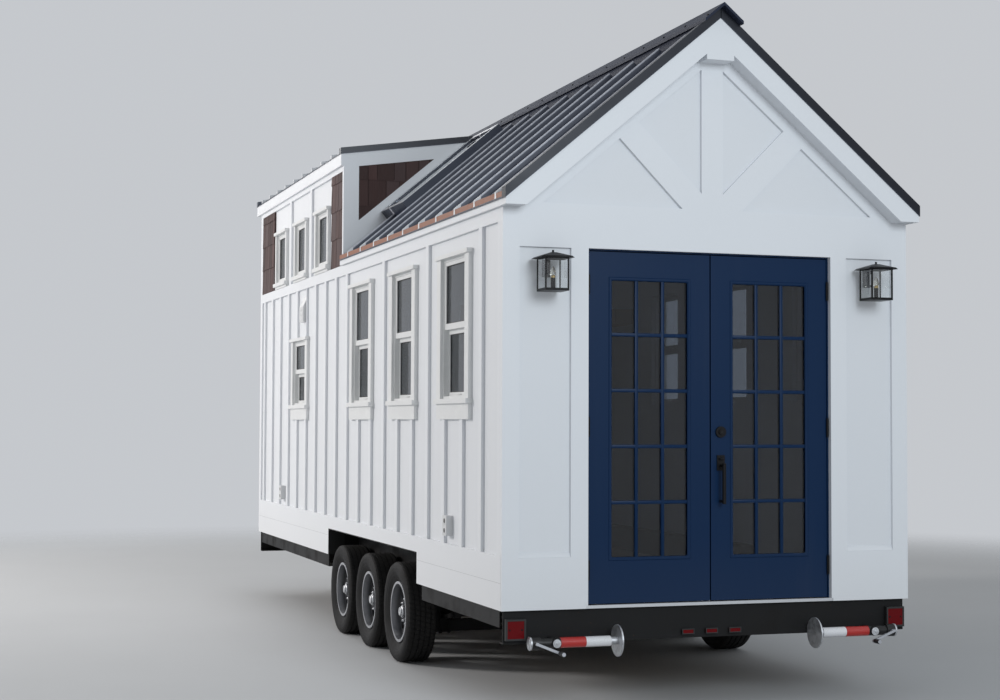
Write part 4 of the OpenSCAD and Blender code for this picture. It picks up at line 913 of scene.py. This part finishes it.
class TINYHOUSE_OT_roof_edges(Step, bpy.types.Operator):
    """Fit the eave closures, the cap screws and the roof window's cladding"""

    bl_idname = "tinyhouse.roof_edges"
    bl_label = "Roof edges"

    def execute(self, context):
        self.closures()
        self.cap_screws()
        self.window_cladding()
        return {"FINISHED"}

    def closures(self):
        """A strip under the ribs along each eave, as far as the dormer, in an orange-brown that is partly its
        own colour and partly a painted sunset reflection.
        """
        top = deck_z(EAVE_X)
        piece = board((EAVE_X - 0.0005, FRONT - RAKE + EDGE_TRIM, top + 0.004),
                      (EAVE_X + 0.0025, DORMER_Y - 0.002, top + 0.0395), 0.0008)
        done(both(painted(piece, "closure")), "eave_closures", "house")

    def screw(self):
        """A hexagon head on its washer, flat on the x-y plane."""
        washer = rod((0, 0, -0.001), (0, 0, 0.0016), 0.0095, 0.0006, 16)
        head = stepped_rod((0, 0, 0.001), (0, 0, 0.0052), 0.0052, 0.0040, 0.0010, 0.0004, 6)
        return joined([washer, head])

    def cap_screws(self):
        """A row of screws along each edge of the ridge cap."""
        count, pitch, x = 25, 0.3105, 0.088
        first = FRONT - RAKE - 0.020
        rise = (0.048 + 0.014) / math.cos(PITCH) + 0.00005
        lean = Matrix.Rotation(PITCH, 4, "Y")
        screw = self.screw()
        row = [twin(screw, Matrix.Translation((x, first + k * pitch, deck_z(x) + rise)) @ lean)
               for k in range(count)]
        bpy.data.objects.remove(screw)
        done(both(painted(joined(row), "black_iron")), "cap_screws", "house")

    def window_cladding(self):
        """The roof window's outer sash: a thin frame of folded metal on the frame that holds the pane."""
        lap, rise, top, length, wide = 0.034, 0.0901, 0.225, 0.970, 0.620
        y1 = DORMER_Y - 0.027
        ring = ring_frame((top, 0, y1 - wide), (top + length, 0, y1), lap, 0.004, 0.0012)
        slope = Matrix.Translation((0, 0, RIDGE)) @ Matrix.Rotation(PITCH, 4, "Y")
        lay = Matrix(((1, 0, 0, 0), (0, 0, 1, 0), (0, -1, 0, rise), (0, 0, 0, 1)))
        ring.data.transform(slope @ lay)
        done(painted(left_only(ring), "zinc"), "roof_window_cladding", "house")


class TINYHOUSE_OT_wall_work(Step, bpy.types.Operator):
    """Scribe the skirt boards, slope the foot of the end panels and cover the vent and outlets"""

    bl_idname = "tinyhouse.wall_work"
    bl_label = "Wall work"

    outlets = (1.030, 6.140)
    outlet_rows = (DECK + 0.354, DECK + 0.412)
    outlet_w, outlet_h = 0.068, 0.053
    vent_span = (5.225, 5.355)
    vent_foot, flap_pitch, flap_h = DECK + 1.884, 0.040, 0.030

    def execute(self, context):
        self.skirt_joints()
        self.panel_sills()
        self.covers()
        return {"FINISHED"}

    def skirt_joints(self):
        """The line between the two boards of each skirt, before and behind the wheels: a thin strip of
        painted shade for the groove between them.
        """
        x = SHELL_X + 0.020
        z = DECK + 0.150
        parts = [board((x - 0.001, FRONT + a, z - 0.0010), (x + 0.0004, FRONT + b, z + 0.0010), 0.0002)
                 for a, b in ((0.019, 1.725), (4.289, 7.261))]
        done(both(painted(joined(parts), "joint_grey")), "skirt_joints", "house")

    def panel_sills(self):
        """A sloped strip that sheds rain at the foot of the sunk panel on each side of the doors."""
        x0, x1, y0, y1 = 0.8663, 1.1697, FRONT + 0.0004, FRONT + 0.0195
        foot, height = DECK + 0.2872, 0.030
        sill = top_drawn_in(block((x0, y0, foot), (x1, y1, foot + height)), (1, 0.12, 1), (x0, y1, foot))
        done(both(painted(eased(sill, 0.0008), "trim_white")), "panel_sills", "house")

    def covers(self):
        """Spring covers and sockets on the outlets, and flaps on the vent, all on the left side."""
        covers, spots = [], []
        for y in self.outlets:
            y += FRONT
            for z in self.outlet_rows:
                mid = z + self.outlet_h / 2
                covers.append(board((SHELL_X + 0.040, y - self.outlet_w / 2, z),
                                    (SHELL_X + 0.0425, y + self.outlet_w / 2, z + self.outlet_h), 0.002, 2))
                spots.append(rod((SHELL_X + 0.041, y, mid), (SHELL_X + 0.0430, y, mid), 0.0150, 0.0006))
        for k in range(3):
            z = self.vent_foot + k * self.flap_pitch
            covers.append(board((SHELL_X + 0.038, FRONT + self.vent_span[0], z),
                                (SHELL_X + 0.0432, FRONT + self.vent_span[1], z + self.flap_h), 0.002, 2))
        for parts, finish, name in ((covers, "outlet_grey", "outlet_covers"),
                                    (spots, "gasket", "outlet_sockets")):
            done(painted(left_only(joined(parts)), finish), name, "house")


class TINYHOUSE_OT_window_work(Step, bpy.types.Operator):
    """Set the gaskets, sash locks and lift rails in the side windows"""

    bl_idname = "tinyhouse.window_work"
    bl_label = "Window work"

    frame_w, sash_w = 0.016, 0.024
    edge = 0.040
    meet_half, meet_lap = 0.036, 0.004
    pane_x = SHELL_X - 0.0125 + 0.003
    sash_step = 0.025

    def gasket(self, w, z0, z1, x, y):
        """A thin dark line round a pane that faces +x."""
        ring = ring_frame((-w / 2, 0, z0), (w / 2, 0, z1), 0.005, 0.003, 0.0008)
        ring.data.transform(Matrix.Translation((x, y, 0)) @ Matrix.Rotation(math.pi / 2, 4, "Z"))
        return ring

    def execute(self, context):
        rubber, locks = [], []
        w = WINDOW_W - 2 * self.frame_w - 2 * self.sash_w + 0.001
        inset = self.meet_half - self.meet_lap
        x_up, x_low = self.pane_x, self.pane_x - self.sash_step
        for middle, h in SIDE_WINDOWS:
            y = FRONT + middle
            foot, mid, head = WINDOW_FOOT, WINDOW_FOOT + h / 2, WINDOW_FOOT + h
            rubber.append(self.gasket(w, mid + inset, head - self.edge, x_up, y))
            rubber.append(self.gasket(w, foot + self.edge, mid - inset, x_low, y))
            locks.append(board((x_low - 0.028, y - 0.030, mid + 0.002),
                               (x_low - 0.004, y + 0.030, mid + 0.014), 0.003, 2))
            locks.append(board((x_low + 0.009, y - 0.045, foot + 0.024),
                               (x_low + 0.018, y + 0.045, foot + 0.030), 0.002))
        dw, dh = DORMER_SIZE
        for middle in DORMER_WINDOWS:
            rubber.append(self.gasket(dw - 2 * self.edge + 0.001, DORMER_FOOT + self.edge,
                                      DORMER_FOOT + dh - self.edge, x_up, FRONT + middle))
        done(both(painted(joined(rubber), "gasket")), "window_gaskets", "house")
        done(both(painted(joined(locks), "window_white")), "sash_locks", "house")
        return {"FINISHED"}


class TINYHOUSE_OT_lantern_lamps(Step, bpy.types.Operator):
    """Put a candle lamp in each lantern and a wide lip under its roof"""

    bl_idname = "tinyhouse.lantern_lamps"
    bl_label = "Lantern lamps"

    def roof_lip(self, x, y, eave):
        """The roof's overhang: it runs out past the posts, and hangs a little below the roof's middle."""
        front, back, half, below, above = 0.0848, 0.092, 0.097, 0.0085, 0.0015
        lip = block((x - half, y - front, eave - below), (x + half, y + back, eave + above))
        return eased(top_drawn_in(lip, (0.835, 0.943, 1), (x, y - front, eave)), 0.0008)

    def execute(self, context):
        x, y, z = 1.010, FRONT - 0.096, 2.326
        radius, middle = 0.017, z + 0.097
        clear()
        bpy.ops.mesh.primitive_uv_sphere_add(segments=24, ring_count=16, radius=radius,
                                             location=(x, y, middle))
        bulb = settle()
        for v in bulb.data.vertices:
            rise = v.co.z - middle
            if rise > 0:
                v.co.z += rise * 1.3
                pinch = 1 - 0.25 * (rise / radius)
                v.co.x = x + (v.co.x - x) * pinch
                v.co.y = y + (v.co.y - y) * pinch
        done(painted(both(bulb), "bulb_glass"), "lantern_bulbs", "house")
        cap = stepped_rod((x, y, z + 0.071), (x, y, z + 0.084), 0.0125, 0.010, 0.004)
        done(painted(both(cap), "brass"), "bulb_sockets", "house")
        lip = self.roof_lip(x, y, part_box("lanterns")[0].z + 0.190)
        done(painted(both(lip), "black_iron"), "lantern_roof_lips", "house")
        return {"FINISHED"}


class TINYHOUSE_OT_wheel_work(Step, bpy.types.Operator):
    """Fit each wheel with its nuts, hub cap and valve"""

    bl_idname = "tinyhouse.wheel_work"
    bl_label = "Wheel work"

    nut_circle = 0.0825

    def nuts(self):
        """The wheel's nuts in their circle, pointing along +x."""
        count = self.sizes.lug_count
        nut = stepped_rod((0.020, 0, 0), (0.036, 0, 0), 0.0105, 0.0072, 0.006, 0.0015, 6)
        ring = [twin(nut, Matrix.Rotation(math.tau * (k + 0.5) / count, 4, "X")
                     @ Matrix.Translation((0, 0, self.nut_circle))) for k in range(count)]
        bpy.data.objects.remove(nut)
        return painted(joined(ring), "zinc")

    def execute(self, context):
        nuts = self.nuts()
        cap = stepped_rod((0.050, 0, 0), (0.060, 0, 0), 0.038, 0.029, 0.012, 0.003)
        collar = stepped_rod((0.019, 0, 0), (0.028, 0, 0), 0.058, 0.046, 0.006, 0.002, 32)
        valve = rod((0.006, 0, 0.150), (0.050, 0, 0.140), 0.0045, 0.001, 12)
        wheel = joined([nuts, painted(cap, "zinc"), painted(collar, "rim_silver"), painted(valve, "gasket")])
        for side, sign in (("left", -1), ("right", 1)):
            for k, y in enumerate(AXLES, 1):
                spin = Matrix.Rotation(0.7 * k + (1.1 if sign < 0 else 0), 4, "X")
                flip = MIRROR if sign < 0 else Matrix.Identity(4)
                copy = twin(wheel, Matrix.Translation((sign * WHEEL_X, y, TYRE_R)) @ flip @ spin)
                done(copy, f"{side}_wheel_nuts_{k}", f"{side}_wheel_{k}")
        bpy.data.objects.remove(wheel)
        return {"FINISHED"}


class TINYHOUSE_OT_jack_work(Step, bpy.types.Operator):
    """Wrap the jacks with their bands and fit their hubs, collars and crank knobs"""

    bl_idname = "tinyhouse.jack_work"
    bl_label = "Jack work"

    tube_r = 0.0287
    band_start = -0.030
    crank = Vector((0.115, -0.054, 0))
    crank_len, crank_tilt = 0.138, math.radians(180 - 22)
    pivot_y = -JACK_BODY_R

    def sleeve(self, x0, x1, finish):
        return painted(rod((x0, 0, 0), (x1, 0, 0), self.tube_r, 0.0004, 40), finish)

    def moving_parts(self):
        """Bands, collar and knob of a jack whose pivot is the origin and whose foot points to -x."""
        length, start = self.sizes.band_len, self.band_start
        bands = [self.sleeve(start - length, start, "tape_red"),
                 self.sleeve(start - 2 * length, start - length - 0.0005, "tape_white")]
        collar = stepped_rod((0.139, 0, 0), (0.149, 0, 0), 0.0375, 0.026, 0.004, 0.0015, 32)
        arm = Vector((math.cos(self.crank_tilt), 0, -math.sin(self.crank_tilt)))
        grip = self.crank + arm * self.crank_len
        knob = stepped_rod(grip + Vector((0, -0.008, 0)), grip + Vector((0, -0.0575, 0)),
                           0.0130, 0.0118, 0.0015, 0.003)
        return joined([joined(bands), painted(collar, "zinc"), painted(knob, "gasket")])

    def fixed_parts(self):
        """The pivot's hub and pin, which stay on the end beam."""
        y = self.pivot_y
        hub = stepped_rod((0, y, 0), (0, y - 0.0035, 0), 0.0235, 0.0165, 0.003, 0.0012, 32)
        pin = stepped_rod((0, y - 0.0055, 0), (0, y - 0.0095, 0), 0.0090, 0.0060, 0.004, 0.0008, 6)
        return painted(joined([hub, pin]), "zinc")

    def execute(self, context):
        moving, fixed = self.moving_parts(), self.fixed_parts()
        x, y, z = JACK_SPOT
        for side, sign in (("left", -1), ("right", 1)):
            flip = MIRROR if sign < 0 else Matrix.Identity(4)
            place = Matrix.Translation((sign * x, y, z)) @ flip
            done(twin(moving, place), f"{side}_jack_bands", f"{side}_jack")
            done(twin(fixed, place), f"{side}_jack_hub", "house")
        bpy.data.objects.remove(moving)
        bpy.data.objects.remove(fixed)
        return {"FINISHED"}


class TINYHOUSE_OT_end_beam_work(Step, bpy.types.Operator):
    """Frame the tail lights and the marker lights in black and screw them on"""

    bl_idname = "tinyhouse.end_beam_work"
    bl_label = "End beam lights"

    def execute(self, context):
        self.tail_lights()
        self.marker_lights()
        return {"FINISHED"}

    def tail_lights(self):
        """A black frame and two screws on each tail light."""
        face = FRONT + 0.002
        x1 = HALF_W - 0.030
        mid_x, mid_z, size, band, spread = x1 - 0.055, 0.465, 0.118, 0.011, 0.036
        y = face + 0.028
        frame = ring_frame((mid_x - size / 2, y, mid_z - size / 2), (mid_x + size / 2, y, mid_z + size / 2),
                           band, 0.031, 0.0015)
        screws = [stepped_rod((mid_x + dx, face + 0.001, mid_z), (mid_x + dx, face - 0.001, mid_z),
                              0.0055, 0.0038, 0.001, 0.0006, 16) for dx in (-spread, spread)]
        piece = joined([painted(frame, "gasket"), painted(joined(screws), "black_iron")])
        done(both(piece), "tail_light_frames", "house")

    def marker_lights(self):
        """A black frame on each of the three lights in the beam's middle."""
        pitch, half = 0.147, 0.038
        y, foot, head = FRONT + 0.016, DECK - 0.164, DECK - 0.132
        frames = [ring_frame((k * pitch - half, y, foot), (k * pitch + half, y, head), 0.006, 0.005, 0.001)
                  for k in (-1, 0, 1)]
        done(painted(joined(frames), "gasket"), "marker_light_frames", "house")


class TINYHOUSE_OT_axle_work(Step, bpy.types.Operator):
    """Clamp the springs with U bolts and fit the bolts of the hangers"""

    bl_idname = "tinyhouse.axle_work"
    bl_label = "Axle work"

    spring_x = 0.930
    seat = TYRE_R - 0.100 + 0.038
    bolt_r, bolt_half, bolt_reach = 0.0065, 0.030, 0.044
    plate_half = (0.043, 0.010)
    eye_reach, eye_rise = 0.325, 0.062

    def u_bolt(self, y):
        """One U bolt over the spring, with its plate and two nuts under it."""
        x, r = self.spring_x, self.bolt_r
        low, high = self.seat - 0.0865, self.seat + 0.047
        parts = []
        for dx in (-self.bolt_half, self.bolt_half):
            parts.append(rod((x + dx, y, low), (x + dx, y, high), r, 0.001, 12))
            parts.append(stepped_rod((x + dx, y, low + 0.010), (x + dx, y, low + 0.001),
                                     0.011, 0.008, 0.002, 0.001, 6))
        px, py = self.plate_half
        parts.append(board((x - px, y - py, low + 0.009), (x + px, y + py, low + 0.015), 0.001))
        reach = self.bolt_half + r
        parts.append(rod((x - reach, y, high), (x + reach, y, high), r, 0.002, 12))
        return parts

    def execute(self, context):
        x = self.spring_x
        parts = []
        for axle in AXLES:
            for s in (-1, 1):
                parts += self.u_bolt(axle + s * self.bolt_reach)
                eye = (axle + s * self.eye_reach, self.seat + self.eye_rise)
                parts += [stepped_rod((x + dx * 0.021, *eye), (x + dx * 0.032, *eye),
                                      0.0125, 0.009, 0.003, 0.001, 6) for dx in (-1, 1)]
        done(both(painted(joined(parts), "trailer_black")), "spring_clamps", "house")
        return {"FINISHED"}


class TINYHOUSE_OT_door_furniture(Step, bpy.types.Operator):
    """Fit the key slot, screws and hinge tips of the doors"""

    bl_idname = "tinyhouse.door_furniture"
    bl_label = "Door furniture"

    def execute(self, context):
        self.handle_trim()
        self.hinge_tips()
        return {"FINISHED"}

    def handle_trim(self):
        """The bolt's key slot in its ring, and the latch plate's two screws."""
        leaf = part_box("right_door")[0].y
        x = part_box("door_handles")[0].x + 0.032
        bolt, latch = DECK + 0.983, DECK + 0.812
        slot = board((x - 0.0015, leaf - 0.0216, bolt - 0.006),
                     (x + 0.0015, leaf - 0.0200, bolt + 0.006), 0.0004)
        ring = stepped_rod((x, leaf - 0.0195, bolt), (x, leaf - 0.0206, bolt), 0.0125, 0.0085, 0.0006, 0.0005)
        screws = [stepped_rod((x, leaf - 0.0075, latch + dz), (x, leaf - 0.0092, latch + dz),
                              0.0048, 0.0032, 0.0009, 0.0005, 12) for dz in (-0.040, 0.029)]
        piece = joined([painted(slot, "gasket"), painted(joined([ring, *screws]), "black_iron")])
        done(piece, "handle_trim", "right_door")

    def hinge_tips(self):
        """A tip at each end of every hinge pin."""
        foot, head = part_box("frame_hinges")
        edge, reach, length = 0.050, 0.049, 0.004
        x, y = DOOR_HINGE
        mids = (foot.z + edge, (foot.z + head.z) / 2, head.z - edge)
        tips = [stepped_rod((x, y, z + s * reach), (x, y, z + s * (reach + length)),
                            0.0078, 0.0050, 0.003, 0.0008, 16) for z in mids for s in (-1, 1)]
        done(both(painted(joined(tips), "black_iron")), "hinge_tips", "house")


class TINYHOUSE_OT_studio(Step, bpy.types.Operator):
    """Lay the floor, hang the soft lamps and set the camera"""

    bl_idname = "tinyhouse.studio"
    bl_label = "Studio"

    def lamp(self, name, place, aim, size, power, tint):
        data = bpy.data.lights.new(name, "AREA")
        data.shape = "DISK"
        data.size = size
        data.energy = power
        data.color = tint
        lamp = bpy.data.objects.new(name, data)
        lamp.location = place
        lamp.rotation_euler = (Vector(aim) - Vector(place)).to_track_quat("-Z", "Y").to_euler()
        bpy.context.scene.collection.objects.link(lamp)

    def world(self):
        """Soft light from all round, and a plain grey for what the camera, gloss or glass sees."""
        world = bpy.data.worlds.new("studio")
        bpy.context.scene.world = world
        world.use_nodes = True
        tree = world.node_tree
        tree.nodes.clear()
        path = tree.nodes.new("ShaderNodeLightPath")
        camera, glossy, through = (Wire(tree, path.outputs[f"Is {kind} Ray"])
                                   for kind in ("Camera", "Glossy", "Transmission"))
        seen = camera.work("MAXIMUM", camera.work("MAXIMUM", camera, glossy), through)
        mix = tree.nodes.new("ShaderNodeMixShader")
        tree.links.new(seen.socket, mix.inputs[0])
        light, view = ((0.94, 0.97, 1.0, 1.0), 0.42), ((0.56, 0.58, 0.61, 1.0), 1.0)
        for k, (colour, strength) in enumerate((light, view), 1):
            shade = tree.nodes.new("ShaderNodeBackground")
            shade.inputs["Color"].default_value = colour
            shade.inputs["Strength"].default_value = strength
            tree.links.new(shade.outputs[0], mix.inputs[k])
        out = tree.nodes.new("ShaderNodeOutputWorld")
        tree.links.new(mix.outputs[0], out.inputs["Surface"])

    def camera(self):
        """The photograph's point of view."""
        yaw, pitch, roll = 0.32, 0.0421, 0.0039
        ahead = Vector((math.sin(yaw) * math.cos(pitch), math.cos(yaw) * math.cos(pitch), math.sin(pitch)))
        right = Vector((math.cos(yaw), -math.sin(yaw), 0))
        up = right.cross(ahead)
        r = right * math.cos(roll) + up * math.sin(roll)
        u = up * math.cos(roll) - right * math.sin(roll)
        data = bpy.data.cameras.new("camera")
        data.sensor_width = 36.0
        data.lens = 62.24
        data.clip_end = 400
        camera = bpy.data.objects.new("camera", data)
        turn = Matrix((r, u, -ahead)).transposed().to_4x4()
        camera.matrix_world = Matrix.Translation((-4.2716, -13.2674, 1.6005)) @ turn
        bpy.context.scene.collection.objects.link(camera)
        bpy.context.scene.camera = camera

    def execute(self, context):
        clear()
        bpy.ops.mesh.primitive_circle_add(vertices=96, radius=120, fill_type="NGON", location=(0, 0, 0))
        floor = settle()
        floor.name = "studio_floor"
        grey = (0.52, 0.53, 0.54)
        f = Finish("studio_floor", grey, 0.85, Specular_IOR_Level=0.2)
        f.set("Base Color", f.tone(grey, 0.97 + f.noise((0.8, 0.8, 0.8), 3.0) * 0.06))
        f.set("Alpha", 1 - f.fade(f.x * f.x + f.y * f.y, 50.0, 190.0))
        floor.data.materials.append(f.material)
        self.lamp("key", (-12.0, 4.5, 6.0), (0, 0, 1.6), 3.0, 960, (1.0, 0.955, 0.92))
        self.lamp("fill", (0.5, -15.5, 5.5), (0, -3, 1.6), 5.0, 540, (0.86, 0.94, 1.0))
        self.lamp("back", (-4.0, 14.0, 10.0), (0, 1, 2), 9.0, 500, (1.0, 0.98, 0.96))
        self.world()
        self.camera()
        context.scene.view_settings.view_transform = "Standard"
        return {"FINISHED"}


STEPS = (
    TINYHOUSE_OT_finish_cad,
    TINYHOUSE_OT_door_grilles,
    TINYHOUSE_OT_shakes,
    TINYHOUSE_OT_roof_edges,
    TINYHOUSE_OT_wall_work,
    TINYHOUSE_OT_window_work,
    TINYHOUSE_OT_lantern_lamps,
    TINYHOUSE_OT_wheel_work,
    TINYHOUSE_OT_jack_work,
    TINYHOUSE_OT_end_beam_work,
    TINYHOUSE_OT_axle_work,
    TINYHOUSE_OT_door_furniture,
    TINYHOUSE_OT_studio,
)


class TINYHOUSE_PT_panel(bpy.types.Panel):
    """The sidebar panel: sizes, colours and each step"""

    bl_label = "Tiny House"
    bl_idname = "TINYHOUSE_PT_panel"
    bl_space_type = "VIEW_3D"
    bl_region_type = "UI"
    bl_category = "Tiny House"

    def draw(self, context):
        scene = context.scene
        for group in (scene.tiny_house_sizes, scene.tiny_house_colours):
            box = self.layout.box()
            for name in group.__annotations__:
                box.prop(group, name)
        for step in STEPS:
            self.layout.operator(step.bl_idname)


CLASSES = (TinyHouseSizes, TinyHouseColours, *STEPS, TINYHOUSE_PT_panel)


def register():
    for cls in CLASSES:
        bpy.utils.register_class(cls)
    bpy.types.Scene.tiny_house_sizes = PointerProperty(type=TinyHouseSizes)
    bpy.types.Scene.tiny_house_colours = PointerProperty(type=TinyHouseColours)


def unregister():
    del bpy.types.Scene.tiny_house_colours
    del bpy.types.Scene.tiny_house_sizes
    for cls in reversed(CLASSES):
        bpy.utils.unregister_class(cls)


def main():
    register()
    for step in STEPS:
        family, name = step.bl_idname.split(".")
        getattr(getattr(bpy.ops, family), name)()


if __name__ == "__main__":
    main()
